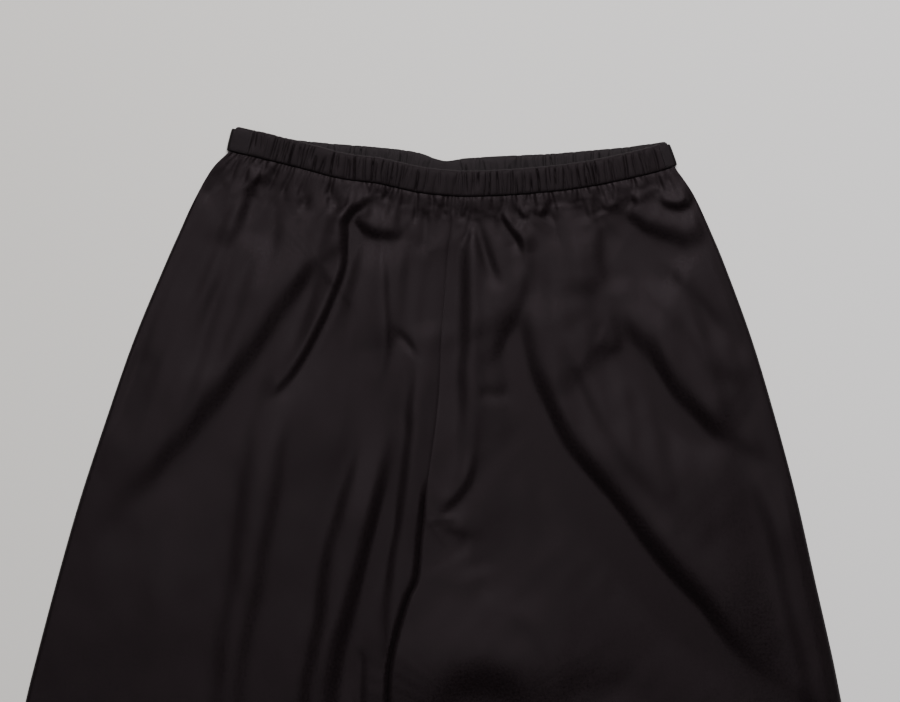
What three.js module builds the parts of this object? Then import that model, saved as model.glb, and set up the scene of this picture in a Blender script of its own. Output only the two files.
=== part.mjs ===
import * as THREE from 'three';

// Wide-leg pull-on trousers with a gathered elastic waistband, laid flat with the front up.
// Lengths are millimetres. The layout is drawn in plan: "across" runs to the viewer's right and
// "down" runs from the waist's left end towards the hems. Left and right are the viewer's.
// In the part's frame +X is across, +Y points towards the waist and +Z up off the surface.

// Cloth and seams
const WALL = 1.3;
const SEAM_GAP = 0.3;
const LAYER = WALL + SEAM_GAP;

// Waistband: a casing of doubled cloth round an elastic
const BAND_HEIGHT = 22;
const BAND_WALL = 2.6;
const BAND_BULGE = 0.4;
const GATHER_RISE = 0.8;
const BAND_LIFT = BAND_WALL + BAND_BULGE + GATHER_RISE + SEAM_GAP;
const FRONT_GATHERS = 55;
const BACK_GATHERS = 70;
const STATIONS_PER_GATHER = 3;
const BAND_END_LEFT = -165.5;
const BAND_END_RIGHT = 192.3;
const SIDE_SEAM_LEFT = -151;
const SIDE_SEAM_RIGHT = 186;
const END_TURN_STEPS = 6;
// The band's slope is taken between two points this far to either side
const BAND_REACH = 2;

// Lengths down the garment
const CROTCH_DOWN = 322;
const HEM_DOWN = 990;
const HEM_RISE = 18;
const HEM_RISE_FROM = 600;
const WAIST_EASE = 130;
const CORNER_EASE = 40;

// Gathers differ in height by this share of it, in waves of this many radians a gather
const GATHER_UNEVENNESS = 0.25;
const GATHER_WAVE = 1.9;

// Front panels: gathers at the waist seam and the air under the cloth
const PANEL_GATHERS = 20;
const PANEL_GATHER_RISE = 1.4;
const PANEL_GATHER_LENGTH = 22;
const PANEL_GATHER_UNEVENNESS = 0.3;
const PANEL_GATHER_WAVE = 2.3;
const SEAM_HEIGHT = 3.2;
const SEAM_EASE = 28;
const PUFF = 3.2;
const SIDE_PUFF = 1.9;
const SIDE_EASE = 80;
const LEAST_AIR = 0.4;
const SOFTNESS = 2.2;
const EDGE_ROLL = 12;
const COLUMN_MARGIN = 14;
const CROTCH_EASE = 20;

// The right leg climbs over the left leg's inner edge
const CLIMB_START = 262;
const CLIMB_END = 318;
const CLIMB_WIDTH = 40;

// Side edges of the laid garment
const SIDES = [
  { down: 21, left: -171, right: 196 },
  { down: 33, left: -183.5, right: 198.5 },
  { down: 45, left: -191, right: 206.5 },
  { down: 58, left: -196.7, right: 214 },
  { down: 78, left: -205, right: 222 },
  { down: 111, left: -219.7, right: 236 },
  { down: 176, left: -246.7, right: 259.8 },
  { down: 242, left: -269.7, right: 279.5 },
  { down: 307, left: -291, right: 296.7 },
  { down: 373, left: -309.8, right: 311.5 },
  { down: 438, left: -327, right: 326.2 },
  { down: 471, left: -335.2, right: 332.8 },
  { down: 560, left: -355, right: 351 },
  { down: 700, left: -379, right: 376 },
  { down: 860, left: -399, right: 397 },
  { down: 990, left: -412, right: 411 },
];

// Centre seam down to the crotch, then each leg's inner edge: the right leg lies over the left
const INNER_EDGES = [
  { down: 50, left: 15, right: 15 },
  { down: 86, left: 12.3, right: 12.3 },
  { down: 111, left: 9.8, right: 9.8 },
  { down: 143, left: 7.4, right: 7.4 },
  { down: 176, left: 5, right: 5 },
  { down: 209, left: 3.8, right: 3.8 },
  { down: 242, left: 1, right: 1 },
  { down: 274, left: -3.4, right: -3.4 },
  { down: 307, left: -8.2, right: -8.2 },
  { down: 316, left: -9.2, right: -9.2 },
  { down: 322, left: -9.6, right: -9.6 },
  { down: 340, left: -7, right: -11.5 },
  { down: 373, left: -3, right: -15 },
  { down: 389, left: -1, right: -22 },
  { down: 422, left: 1, right: -32 },
  { down: 447, left: 3, right: -37 },
  { down: 473, left: 4, right: -38 },
  { down: 600, left: 10, right: -38 },
  { down: 800, left: 20, right: -36 },
  { down: 990, left: 30, right: -34 },
];

// Middle line of the band's front and of its back, which stands higher between the ends
const BAND_FRONT_LINE = [
  { across: -175, down: 8.5 },
  { across: -166.5, down: 11 },
  { across: -141, down: 17 },
  { across: -108, down: 25.2 },
  { across: -75.5, down: 33.6 },
  { across: -44, down: 37.8 },
  { across: -11, down: 45.1 },
  { across: 20.5, down: 48 },
  { across: 53, down: 47.4 },
  { across: 85, down: 45.1 },
  { across: 117.5, down: 41.3 },
  { across: 149.5, down: 35.3 },
  { across: 182, down: 27.5 },
  { across: 195, down: 23 },
  { across: 204, down: 19.8 },
];
const BAND_BACK_LINE = [
  { across: -175, down: 8.5 },
  { across: -166.5, down: 11 },
  { across: -149.5, down: 15.2 },
  { across: -132.5, down: 19.6 },
  { across: -115.5, down: 22.5 },
  { across: -82, down: 25.8 },
  { across: -49, down: 28.4 },
  { across: -18, down: 32.2 },
  { across: -2, down: 37.6 },
  { across: 9, down: 39.7 },
  { across: 26, down: 37.6 },
  { across: 58.5, down: 35.6 },
  { across: 92, down: 34 },
  { across: 125, down: 31.4 },
  { across: 158, down: 28.4 },
  { across: 178, down: 25.6 },
  { across: 195, down: 23 },
  { across: 204, down: 19.8 },
];
const FRONT_SEAM_DOWN = 59.4;
const BACK_SEAM_DOWN = 51;

// The stretch at the centre back where the elastic is joined and the casing lies smooth
const SMOOTH_BACK = { from: -6, to: 20 };

// Folds of the front. A face is the steep side of a ridge: the ridge stands "rise" high on the
// right of someone who walks down the path, or on their left where rise is below 0, with a trough
// on the other side. A crease is a ridge, or a trough where rise is below 0. The width grows by
// the factor "spread" along the path of [across, down] points, and "start" and "end" are the
// shares of the rise at the path's two ends.
const FACE = 'face';
const CREASE = 'crease';
const FOLDS = [
  {
    kind: FACE, width: 7, spread: 1, rise: 3, start: 1, end: 0.6,
    path: [[-50, 48], [-61, 66], [-74, 81], [-75, 94]],
  },
  {
    kind: FACE, width: 6, spread: 1, rise: 3, start: 0.7, end: 0.4,
    path: [[-72, 92], [-76, 121], [-92, 160], [-124, 212]],
  },
  {
    kind: FACE, width: 8, spread: 1, rise: -2.4, start: 0.6, end: 0.8,
    path: [[-67, 84], [-57, 88], [-41, 94]],
  },
  {
    kind: FACE, width: 9, spread: 1.8, rise: 3.2, start: 0.6, end: 0.2,
    path: [[-92, 110], [-121, 143], [-168, 209], [-244, 300]],
  },
  {
    kind: CREASE, width: 12, spread: 1.2, rise: -1.2, start: 0, end: 0,
    path: [[-142, 131], [-164, 158], [-200, 212]],
  },
  {
    kind: CREASE, width: 12, spread: 1.2, rise: -1, start: 0, end: 0,
    path: [[-230, 180], [-246, 213], [-262, 266]],
  },
  {
    kind: FACE, width: 7, spread: 1.6, rise: 2.6, start: 1, end: 0,
    path: [[-130, 31], [-147, 46], [-155, 66], [-162, 104]],
  },
  {
    kind: CREASE, width: 9, spread: 1.2, rise: -1.6, start: 0.8, end: 0,
    path: [[-128, 36], [-133, 84], [-150, 142]],
  },
  {
    kind: CREASE, width: 9, spread: 1.2, rise: -2, start: 0.8, end: 0,
    path: [[-88, 42], [-82, 60], [-80, 80]],
  },
  {
    kind: FACE, width: 7, spread: 1.1, rise: 2, start: 0.4, end: 0.3,
    path: [[-42, 102], [-39, 148], [-42, 204]],
  },
  {
    kind: CREASE, width: 8, spread: 1, rise: -1.8, start: 0.4, end: 0.3,
    path: [[-33, 169], [-25, 177], [-15, 189]],
  },
  {
    kind: CREASE, width: 8, spread: 1.4, rise: -1.6, start: 0.7, end: 0.1,
    path: [[-26, 60], [-27, 78], [-25, 100]],
  },
  {
    kind: CREASE, width: 8, spread: 1.2, rise: -1.6, start: 0.6, end: 0.1,
    path: [[-8, 64], [-8, 86], [-12, 112]],
  },
  {
    kind: FACE, width: 8, spread: 1.2, rise: -2.2, start: 0.5, end: 0.5,
    path: [[-140, 218], [-157, 299], [-171, 400], [-179, 476], [-198, 640], [-224, 860]],
  },
  {
    kind: FACE, width: 8, spread: 1.1, rise: 2.4, start: 0.5, end: 0.3,
    path: [[-110, 216], [-129, 298], [-145, 378], [-163, 480], [-178, 620], [-200, 820]],
  },
  {
    kind: FACE, width: 8, spread: 1, rise: -2.6, start: 0, end: 0.5,
    path: [[-50, 220], [-74, 302], [-92, 378], [-107, 470], [-124, 640], [-146, 860]],
  },
  {
    kind: FACE, width: 7, spread: 1.1, rise: 3.6, start: 0, end: 0.5,
    path: [[-38, 246], [-57, 326], [-73, 401], [-85, 480], [-98, 640], [-116, 840]],
  },
  {
    kind: FACE, width: 7, spread: 1, rise: -2.4, start: 0.5, end: 0.3,
    path: [[-18, 176], [-21, 252], [-31, 326], [-40, 400], [-40, 436]],
  },
  {
    kind: CREASE, width: 24, spread: 1, rise: 1.4, start: 0, end: 0.4,
    path: [[-222, 330], [-222, 420], [-240, 640], [-268, 900]],
  },
  {
    kind: CREASE, width: 24, spread: 1, rise: -1.4, start: 0, end: 0.4,
    path: [[-276, 420], [-300, 620], [-330, 900]],
  },
  {
    kind: FACE, width: 7, spread: 1.1, rise: 1.8, start: 0.6, end: 0.2,
    path: [[20, 88], [25, 118], [25, 176], [22, 250], [20, 284]],
  },
  {
    kind: CREASE, width: 8, spread: 1.3, rise: -2.2, start: 0.7, end: 0,
    path: [[31, 66], [41, 106], [56, 138]],
  },
  {
    kind: FACE, width: 7, spread: 1.2, rise: -2.6, start: 0.7, end: 0.3,
    path: [[54, 71], [64, 88], [73, 108]],
  },
  {
    kind: FACE, width: 8, spread: 1.3, rise: 1.6, start: 0.5, end: 0.1,
    path: [[71, 100], [71, 134], [60, 168], [42, 204]],
  },
  {
    kind: FACE, width: 8, spread: 1.5, rise: 2.6, start: 0.9, end: 0.1,
    path: [[118, 52], [130, 84], [134, 127], [132, 166]],
  },
  {
    kind: CREASE, width: 14, spread: 1.2, rise: 1.3, start: 0.2, end: 0.1,
    path: [[112, 84], [112, 130], [114, 172]],
  },
  {
    kind: FACE, width: 6, spread: 1.3, rise: -3, start: 1, end: 0.2,
    path: [[154, 46], [163, 60], [169, 67]],
  },
  {
    kind: FACE, width: 9, spread: 1.1, rise: -4.4, start: 0.7, end: 0.1,
    path: [[163, 80], [182, 88], [210, 98], [226, 102]],
  },
  {
    kind: FACE, width: 6, spread: 1.1, rise: -2.6, start: 0.5, end: 0.6,
    path: [[184, 60], [199, 67], [210, 57], [211, 46]],
  },
  {
    kind: FACE, width: 9, spread: 1.2, rise: -1.7, start: 0.2, end: 0,
    path: [[176, 106], [209, 135], [254, 186]],
  },
  {
    kind: FACE, width: 13, spread: 1, rise: -2.2, start: 0.2, end: 0.6,
    path: [[130, 182], [148, 185], [166, 180]],
  },
  {
    kind: FACE, width: 12, spread: 0.8, rise: -4.6, start: 0.4, end: 0.4,
    path: [[154, 160], [175, 185], [199, 219], [225, 246], [259, 259]],
  },
  {
    kind: FACE, width: 13, spread: 0.9, rise: -3.8, start: 0.1, end: 0.6,
    path: [[78, 172], [84, 198], [96, 232]],
  },
  {
    kind: FACE, width: 11, spread: 1.5, rise: -4.6, start: 0.2, end: 0.1,
    path: [[96, 228], [122, 275], [163, 324], [206, 373], [252, 421], [288, 450]],
  },
  {
    kind: FACE, width: 9, spread: 1.6, rise: -2.6, start: 0, end: 0,
    path: [[98, 150], [120, 212], [156, 276], [224, 354]],
  },
  {
    kind: FACE, width: 11, spread: 1, rise: -3, start: 0.4, end: 0.4,
    path: [[252, 274], [279, 350], [299, 436], [324, 600], [340, 720]],
  },
  {
    kind: FACE, width: 7, spread: 1, rise: 2.2, start: 0.3, end: 0.3,
    path: [[34, 262], [21, 302], [5, 319]],
  },
  {
    kind: FACE, width: 8, spread: 1.2, rise: -2.2, start: 0.6, end: 0,
    path: [[5, 332], [12, 333], [34, 332]],
  },
  {
    kind: FACE, width: 15, spread: 1, rise: -4.4, start: 0.1, end: 0.2,
    path: [[2, 500], [15, 454], [46, 446], [67, 466], [74, 510]],
  },
  {
    kind: FACE, width: 10, spread: 1, rise: -1.8, start: 0.1, end: 0.3,
    path: [[54, 386], [80, 418], [97, 474], [102, 520]],
  },
  {
    kind: CREASE, width: 18, spread: 1, rise: 1.5, start: 0, end: 0.4,
    path: [[74, 560], [78, 740], [88, 980]],
  },
  {
    kind: CREASE, width: 18, spread: 1, rise: -1.5, start: 0, end: 0.4,
    path: [[150, 500], [164, 700], [182, 980]],
  },
  {
    kind: CREASE, width: 22, spread: 1, rise: 1.5, start: 0, end: 0.4,
    path: [[206, 480], [232, 700], [252, 980]],
  },
  {
    kind: CREASE, width: 20, spread: 1, rise: -1.3, start: 0, end: 0.4,
    path: [[262, 540], [290, 740], [312, 980]],
  },
];
const FOLD_STEPS = 24;
const FOLD_FADE = 0.3;
// Steepness of a face, and how far its ridge and trough reach, in widths
const FACE_STEEPNESS = 1.35;
const FACE_REACH = 3;

const FRONT_COLUMNS = 2 * PANEL_GATHERS;
const FRONT_ROWS = [
  FRONT_SEAM_DOWN, 64, 70, 77, 86, 96, 108, 122, 138, 155, 173, 192, 212, 233, 254, 275, 294, 310,
  CROTCH_DOWN, 336, 356, 380, 408, 440, 473, 520, 600, 720, 860, HEM_DOWN,
];
const BACK_ROWS = [
  BACK_SEAM_DOWN, 72, 100, 140, 190, 240, 280, 304, CROTCH_DOWN, 350, 390, 440, 520, 640, 800, HEM_DOWN,
];
// Back columns, as a share of the width from the inner edge: closer where one leg climbs the other
const BACK_COLUMNS = [
  0, 0.04, 0.08, 0.12, 0.17, 0.23, 0.3, 0.37, 0.44, 0.51, 0.58, 0.65, 0.72, 0.79, 0.86, 0.93, 1,
];

const { clamp, lerp, smoothstep } = THREE.MathUtils;

// A smooth curve through a table's rows, read at one value of its key column
function read(rows, key, field, at) {
  const last = rows.length - 1;
  const place = clamp(at, rows[0][key], rows[last][key]);
  let k = 0;
  while (k < last - 1 && place > rows[k + 1][key]) k += 1;
  const slope = (i) => {
    const before = rows[Math.max(i - 1, 0)];
    const after = rows[Math.min(i + 1, last)];
    return (after[field] - before[field]) / (after[key] - before[key]);
  };
  const step = rows[k + 1][key] - rows[k][key];
  const t = (place - rows[k][key]) / step;
  const startShare = (1 + 2 * t) * (1 - t) ** 2;
  const endShare = t * t * (3 - 2 * t);
  const bend = step * (slope(k) * t * (1 - t) ** 2 - slope(k + 1) * t * t * (1 - t));
  return rows[k][field] * startShare + rows[k + 1][field] * endShare + bend;
}

// Plan position to the part's frame
function place(across, down, height) {
  return [across, HEM_DOWN / 2 - down, height];
}

// Point of a band's middle line, its run and the direction of its lower edge
function bandFrame(line, across) {
  const down = read(line, 'across', 'down', across);
  const before = read(line, 'across', 'down', across - BAND_REACH);
  const after = read(line, 'across', 'down', across + BAND_REACH);
  const run = new THREE.Vector2(2 * BAND_REACH, after - before).normalize();
  return { across, down, run, lower: new THREE.Vector2(-run.y, run.x) };
}

// Folds with their paths drawn as smooth lines
const foldLines = FOLDS.map((fold) => {
  const points = fold.path.map(([across, down]) => new THREE.Vector3(across, down, 0));
  return { ...fold, points: new THREE.CatmullRomCurve3(points).getPoints(FOLD_STEPS) };
});

// Rise of one fold at a plan point
function foldRise(fold, across, down) {
  let nearest = Infinity;
  let along = 0;
  let beside = 0;
  const last = fold.points.length - 1;
  for (let k = 0; k < last; k += 1) {
    const a = fold.points[k];
    const b = fold.points[k + 1];
    const dx = b.x - a.x;
    const dy = b.y - a.y;
    const size = Math.hypot(dx, dy);
    const t = clamp(((across - a.x) * dx + (down - a.y) * dy) / (size * size), 0, 1);
    const distance = Math.hypot(across - a.x - t * dx, down - a.y - t * dy);
    if (distance < nearest) {
      nearest = distance;
      along = (k + t) / last;
      beside = (dx * (down - a.y) - dy * (across - a.x)) / size;
    }
  }
  const width = fold.width * lerp(1, fold.spread, along);
  const starting = lerp(fold.start, 1, smoothstep(along, 0, FOLD_FADE));
  const ending = lerp(1, fold.end, smoothstep(along, 1 - FOLD_FADE, 1));
  const rise = fold.rise * starting * ending;
  if (fold.kind === CREASE) return rise * Math.exp(-((nearest / width) ** 2));
  const reach = Math.exp(-((nearest / (FACE_REACH * width)) ** 2));
  return rise * reach * Math.tanh((FACE_STEEPNESS * beside) / width);
}

// Height of the right leg's back panel over the surface, where it climbs the left leg
function climb(across, down) {
  const inner = read(INNER_EDGES, 'down', 'left', down);
  const top = inner + COLUMN_MARGIN;
  const start = smoothstep(down, CLIMB_START, CLIMB_END);
  return 2 * LAYER * start * (1 - smoothstep(across, top, top + CLIMB_WIDTH));
}

// Height of the open front cloth's lower face, from its puff and its folds
function openHeight(side, across, down) {
  const outer = Math.abs(read(SIDES, 'down', side, down) - across);
  const puff = lerp(SIDE_PUFF, PUFF, smoothstep(outer, 0, SIDE_EASE));
  return foldLines.reduce((sum, fold) => sum + foldRise(fold, across, down), puff);
}

// Share of the air left near a side edge and, below the crotch, near a leg's inner edge
function edgeShare(side, across, down) {
  const outer = Math.abs(read(SIDES, 'down', side, down) - across);
  const outerShare = smoothstep(outer, 0, EDGE_ROLL);
  const inner = read(INNER_EDGES, 'down', 'right', down);
  const below = smoothstep(down, CROTCH_DOWN - CROTCH_EASE, CROTCH_DOWN);
  const margin = side === 'left' ? inner - COLUMN_MARGIN - across : across - inner;
  return outerShare * lerp(1, smoothstep(margin, 0, EDGE_ROLL), below);
}

// The value, eased so that it never goes below the floor
function softFloor(value, floor) {
  return floor + Math.log1p(Math.exp(SOFTNESS * (value - floor))) / SOFTNESS;
}

// Gather at the waist seam by column: up on odd columns, down on even ones, no two alike
function seamGather(column, below) {
  const sign = column % 2 === 1 ? 1 : -1;
  const share = lerp(1, Math.sin(PANEL_GATHER_WAVE * column), PANEL_GATHER_UNEVENNESS);
  return sign * share * PANEL_GATHER_RISE * Math.exp(-below / PANEL_GATHER_LENGTH);
}

// Height of a front panel's lower face: open cloth over its own back panel, closed at the edges
function frontHeight(side, column, across, down, below) {
  const settled = smoothstep(below, 0, SEAM_EASE);
  const air = lerp(SEAM_HEIGHT, openHeight(side, across, down), settled) + seamGather(column, below);
  const closed = LAYER + (side === 'left' ? 0 : climb(across, down));
  const open = softFloor(LAYER + air, closed + LEAST_AIR);
  return lerp(closed, open, edgeShare(side, across, down));
}

// Plan point of a panel: its top row follows the band's lower edge, the rest follows the outline
function panelPoint(side, bandLine, topDown, share, rowDown) {
  const bandStart = side === 'left' ? BAND_END_LEFT : INNER_EDGES[0].right;
  const bandStop = side === 'left' ? INNER_EDGES[0].left : BAND_END_RIGHT;
  const band = bandFrame(bandLine, lerp(bandStart, bandStop, share));
  const offset = BAND_HEIGHT / 2 + SEAM_GAP;
  const seamAcross = band.across + band.lower.x * offset;
  const seamDown = band.down + band.lower.y * offset;
  const below = rowDown - topDown;
  const ease = Math.max(0, 1 - below / WAIST_EASE) ** 2;
  const outerShare = side === 'left' ? 1 - share : share;
  const hem = HEM_RISE * outerShare * smoothstep(rowDown, HEM_RISE_FROM, HEM_DOWN);
  const down = rowDown + (seamDown - topDown) * ease - hem;
  const edges = (at) => {
    const outer = read(SIDES, 'down', side, at);
    const inner = read(INNER_EDGES, 'down', side, at);
    const gap = SEAM_GAP / 2;
    return side === 'left' ? lerp(outer, inner - gap, share) : lerp(inner + gap, outer, share);
  };
  const shift = (seamAcross - edges(seamDown)) * (1 - smoothstep(below, 0, CORNER_EASE));
  return { across: edges(down) + shift, down, below };
}

// A closed wall from two grids of points, its lower and upper faces, joined round all four edges
function wallGeometry(columns, rows, lowerAt, upperAt) {
  const across = columns + 1;
  const upper = across * (rows + 1);
  const positions = [];
  for (const pointAt of [lowerAt, upperAt]) {
    for (let j = 0; j <= rows; j += 1) {
      for (let i = 0; i <= columns; i += 1) positions.push(...pointAt(i, j));
    }
  }
  const index = [];
  const face = (a, b, c, d) => index.push(a, b, c, a, c, d);
  const at = (i, j) => i + j * across;
  for (let j = 0; j < rows; j += 1) {
    for (let i = 0; i < columns; i += 1) {
      face(at(i, j), at(i + 1, j), at(i + 1, j + 1), at(i, j + 1));
      face(upper + at(i, j), upper + at(i, j + 1), upper + at(i + 1, j + 1), upper + at(i + 1, j));
    }
  }
  for (let i = 0; i < columns; i += 1) {
    face(at(i, 0), upper + at(i, 0), upper + at(i + 1, 0), at(i + 1, 0));
    face(at(i + 1, rows), upper + at(i + 1, rows), upper + at(i, rows), at(i, rows));
  }
  for (let j = 0; j < rows; j += 1) {
    face(at(0, j + 1), upper + at(0, j + 1), upper + at(0, j), at(0, j));
    face(at(columns, j), upper + at(columns, j), upper + at(columns, j + 1), at(columns, j + 1));
  }
  return indexedGeometry(positions, index);
}

function indexedGeometry(positions, index) {
  const geometry = new THREE.BufferGeometry();
  geometry.setAttribute('position', new THREE.Float32BufferAttribute(positions, 3));
  geometry.setIndex(index);
  geometry.computeVertexNormals();
  return geometry;
}

function frontPanel(side) {
  const lowerAt = (i, j) => {
    const point = panelPoint(side, BAND_FRONT_LINE, FRONT_SEAM_DOWN, i / FRONT_COLUMNS, FRONT_ROWS[j]);
    return place(point.across, point.down, frontHeight(side, i, point.across, point.down, point.below));
  };
  const upperAt = (i, j) => {
    const [x, y, z] = lowerAt(i, j);
    return [x, y, z + WALL];
  };
  return wallGeometry(FRONT_COLUMNS, FRONT_ROWS.length - 1, lowerAt, upperAt);
}

function backPanel(side) {
  const last = BACK_COLUMNS.length - 1;
  const pointAt = (i, j, thickness) => {
    const share = side === 'left' ? 1 - BACK_COLUMNS[last - i] : BACK_COLUMNS[i];
    const point = panelPoint(side, BAND_BACK_LINE, BACK_SEAM_DOWN, share, BACK_ROWS[j]);
    const height = side === 'left' ? 0 : climb(point.across, point.down);
    return place(point.across, point.down, height + thickness);
  };
  const lowerAt = (i, j) => pointAt(i, j, 0);
  const upperAt = (i, j) => pointAt(i, j, WALL);
  return wallGeometry(last, BACK_ROWS.length - 1, lowerAt, upperAt);
}

// One cross-section of the band. "turn" tilts its outer face from straight up about its lower edge;
// "outer" and "inner" are how far each face stands out from the plain wall at mid height.
function bandSection(line, across, centreHeight, turn, radius, outer, inner) {
  const frame = bandFrame(line, across);
  const normal = [frame.run.x * Math.sin(turn), frame.run.y * Math.sin(turn), Math.cos(turn)];
  const point = (side, away) => {
    const reach = radius + away;
    return place(
      frame.across - side * frame.lower.x * (BAND_HEIGHT / 2) + normal[0] * reach,
      frame.down - side * frame.lower.y * (BAND_HEIGHT / 2) + normal[1] * reach,
      centreHeight + normal[2] * reach,
    );
  };
  const half = BAND_WALL / 2;
  return [
    point(1, half + outer.edge),
    point(0, half + outer.middle),
    point(-1, half + outer.edge),
    point(-1, -half - inner.edge),
    point(0, -half - inner.middle),
    point(1, -half - inner.edge),
  ];
}

// A closed tube through cross-sections of the same number of points, with flat ends
function tubeGeometry(sections) {
  const ring = sections[0].length;
  const index = [];
  for (let s = 0; s < sections.length - 1; s += 1) {
    for (let k = 0; k < ring; k += 1) {
      const a = s * ring + k;
      const b = s * ring + ((k + 1) % ring);
      index.push(a, b, b + ring, a, b + ring, a + ring);
    }
  }
  const end = (sections.length - 1) * ring;
  const pairs = [[0, 1, 4, 5], [1, 2, 3, 4]];
  for (const [a, b, c, d] of pairs) {
    index.push(a, c, b, a, d, c);
    index.push(end + a, end + b, end + c, end + a, end + c, end + d);
  }
  return indexedGeometry(sections.flat(2), index);
}

// Faces of the gathered casing at one station: two of three stations stand high, the third is a groove
function gatheredFace(station) {
  const gather = Math.floor(station / STATIONS_PER_GATHER);
  const high = station % STATIONS_PER_GATHER !== 0 ? 1 : 0;
  const share = lerp(1, Math.sin(GATHER_WAVE * gather), GATHER_UNEVENNESS);
  const edge = GATHER_RISE * share * high;
  return { edge, middle: edge + BAND_BULGE };
}

const plainFace = { edge: 0, middle: 0 };

function waistbandFront() {
  const sections = [];
  const count = FRONT_GATHERS * STATIONS_PER_GATHER;
  const from = SIDE_SEAM_LEFT + SEAM_GAP / 2;
  const to = SIDE_SEAM_RIGHT - SEAM_GAP / 2;
  const height = BAND_WALL / 2 + BAND_LIFT;
  for (let s = 0; s <= count; s += 1) {
    const across = lerp(from, to, s / count);
    sections.push(bandSection(BAND_FRONT_LINE, across, height, 0, 0, gatheredFace(s), plainFace));
  }
  return tubeGeometry(sections);
}

// The back of the band runs right to left on the surface and wraps over both ends to the side seams
function waistbandBack() {
  const sections = [];
  const radius = BAND_LIFT / 2;
  const centre = BAND_WALL / 2 + radius;
  const topSection = (across) => (
    bandSection(BAND_FRONT_LINE, across, centre, 0, radius, plainFace, plainFace)
  );
  const endTurn = (across, turnFrom) => {
    for (let s = 0; s <= END_TURN_STEPS; s += 1) {
      const turn = turnFrom + (Math.PI * s) / END_TURN_STEPS;
      sections.push(bandSection(BAND_FRONT_LINE, across, centre, turn, radius, plainFace, plainFace));
    }
  };
  sections.push(topSection(SIDE_SEAM_RIGHT + SEAM_GAP / 2));
  endTurn(BAND_END_RIGHT, 0);
  const count = BACK_GATHERS * STATIONS_PER_GATHER;
  for (let s = 1; s < count; s += 1) {
    const across = lerp(BAND_END_RIGHT, BAND_END_LEFT, s / count);
    const smooth = across > SMOOTH_BACK.from && across < SMOOTH_BACK.to;
    const face = smooth ? plainFace : gatheredFace(s);
    sections.push(bandSection(BAND_BACK_LINE, across, centre, Math.PI, radius, plainFace, face));
  }
  endTurn(BAND_END_LEFT, Math.PI);
  sections.push(topSection((BAND_END_LEFT + SIDE_SEAM_LEFT) / 2));
  sections.push(topSection(SIDE_SEAM_LEFT - SEAM_GAP / 2));
  return tubeGeometry(sections);
}

// Dark soft twill, a little lighter where the cloth of the band is drawn tight
function cloth(colour, roughness) {
  return new THREE.MeshStandardMaterial({ color: colour, roughness, metalness: 0, side: THREE.FrontSide });
}

const trousers = new THREE.Group();

function addPiece(name, geometry, material) {
  const piece = new THREE.Mesh(geometry, material);
  piece.name = name;
  trousers.add(piece);
}

const PANEL_COLOUR = 0x1f181a;
const BAND_COLOUR = 0x231c1e;
const CLOTH_ROUGHNESS = 0.8;

addPiece('front_panel_left', frontPanel('left'), cloth(PANEL_COLOUR, CLOTH_ROUGHNESS));
addPiece('front_panel_right', frontPanel('right'), cloth(PANEL_COLOUR, CLOTH_ROUGHNESS));
addPiece('back_panel_left', backPanel('left'), cloth(PANEL_COLOUR, CLOTH_ROUGHNESS));
addPiece('back_panel_right', backPanel('right'), cloth(PANEL_COLOUR, CLOTH_ROUGHNESS));
addPiece('waistband_front', waistbandFront(), cloth(BAND_COLOUR, CLOTH_ROUGHNESS));
addPiece('waistband_back', waistbandBack(), cloth(BAND_COLOUR, CLOTH_ROUGHNESS));

export default trousers;
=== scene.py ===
import math
from collections import namedtuple

import bpy
import numpy as np
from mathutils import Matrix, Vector


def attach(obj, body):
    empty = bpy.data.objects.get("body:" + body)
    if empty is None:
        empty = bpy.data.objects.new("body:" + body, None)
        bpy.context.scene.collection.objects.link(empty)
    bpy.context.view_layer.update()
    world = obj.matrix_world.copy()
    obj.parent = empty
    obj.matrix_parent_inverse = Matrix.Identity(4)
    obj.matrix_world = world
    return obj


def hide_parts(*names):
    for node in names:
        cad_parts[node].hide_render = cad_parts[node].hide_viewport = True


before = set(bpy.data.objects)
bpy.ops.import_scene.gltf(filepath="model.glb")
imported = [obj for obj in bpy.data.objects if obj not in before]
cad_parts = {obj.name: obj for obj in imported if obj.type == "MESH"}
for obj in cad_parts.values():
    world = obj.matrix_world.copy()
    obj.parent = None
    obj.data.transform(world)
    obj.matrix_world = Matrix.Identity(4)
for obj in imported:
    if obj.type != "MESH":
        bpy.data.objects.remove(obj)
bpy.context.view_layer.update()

bl_info = {
    "name": "Wide-leg trousers",
    "version": (1, 0, 0),
    "blender": (4, 5, 0),
    "location": "View3D > Sidebar > Trousers",
    "description": "Dark pull-on trousers with a gathered waistband, laid flat on a pale surface",
    "category": "Add Mesh",
}

# Plan measures are millimetres: "across" runs to the viewer's right and "down" runs from the
# waist's left end towards the hems. Left and right are the viewer's. The frame is in metres.
MM = 0.001
HEM_DOWN = 990.0
HEM_RISE = 18.0
HEM_RISE_FROM = 600.0
CROTCH_DOWN = 322.0
LEG_START = (CROTCH_DOWN - 34, CROTCH_DOWN - 2)
WAIST_EASE = 130.0
CORNER_EASE = 40.0
SEAM_GAP = 0.3

# Wall of the solids, and the height of one layer of cloth with the gap over it
CAD_WALL = 1.3
LAYER = CAD_WALL + SEAM_GAP

# Waistband
BAND_HEIGHT = 22.0
BAND_WALL = 2.6
BAND_LIFT = 4.1
BAND_END_LEFT = -165.5
BAND_END_RIGHT = 192.3
SIDE_SEAM_LEFT = -151.0
SIDE_SEAM_RIGHT = 186.0
FRONT_VALLEYS = 86
BACK_VALLEYS = 100
FRONT_SEAM_DOWN = 59.4
BACK_SEAM_DOWN = 51.0

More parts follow.
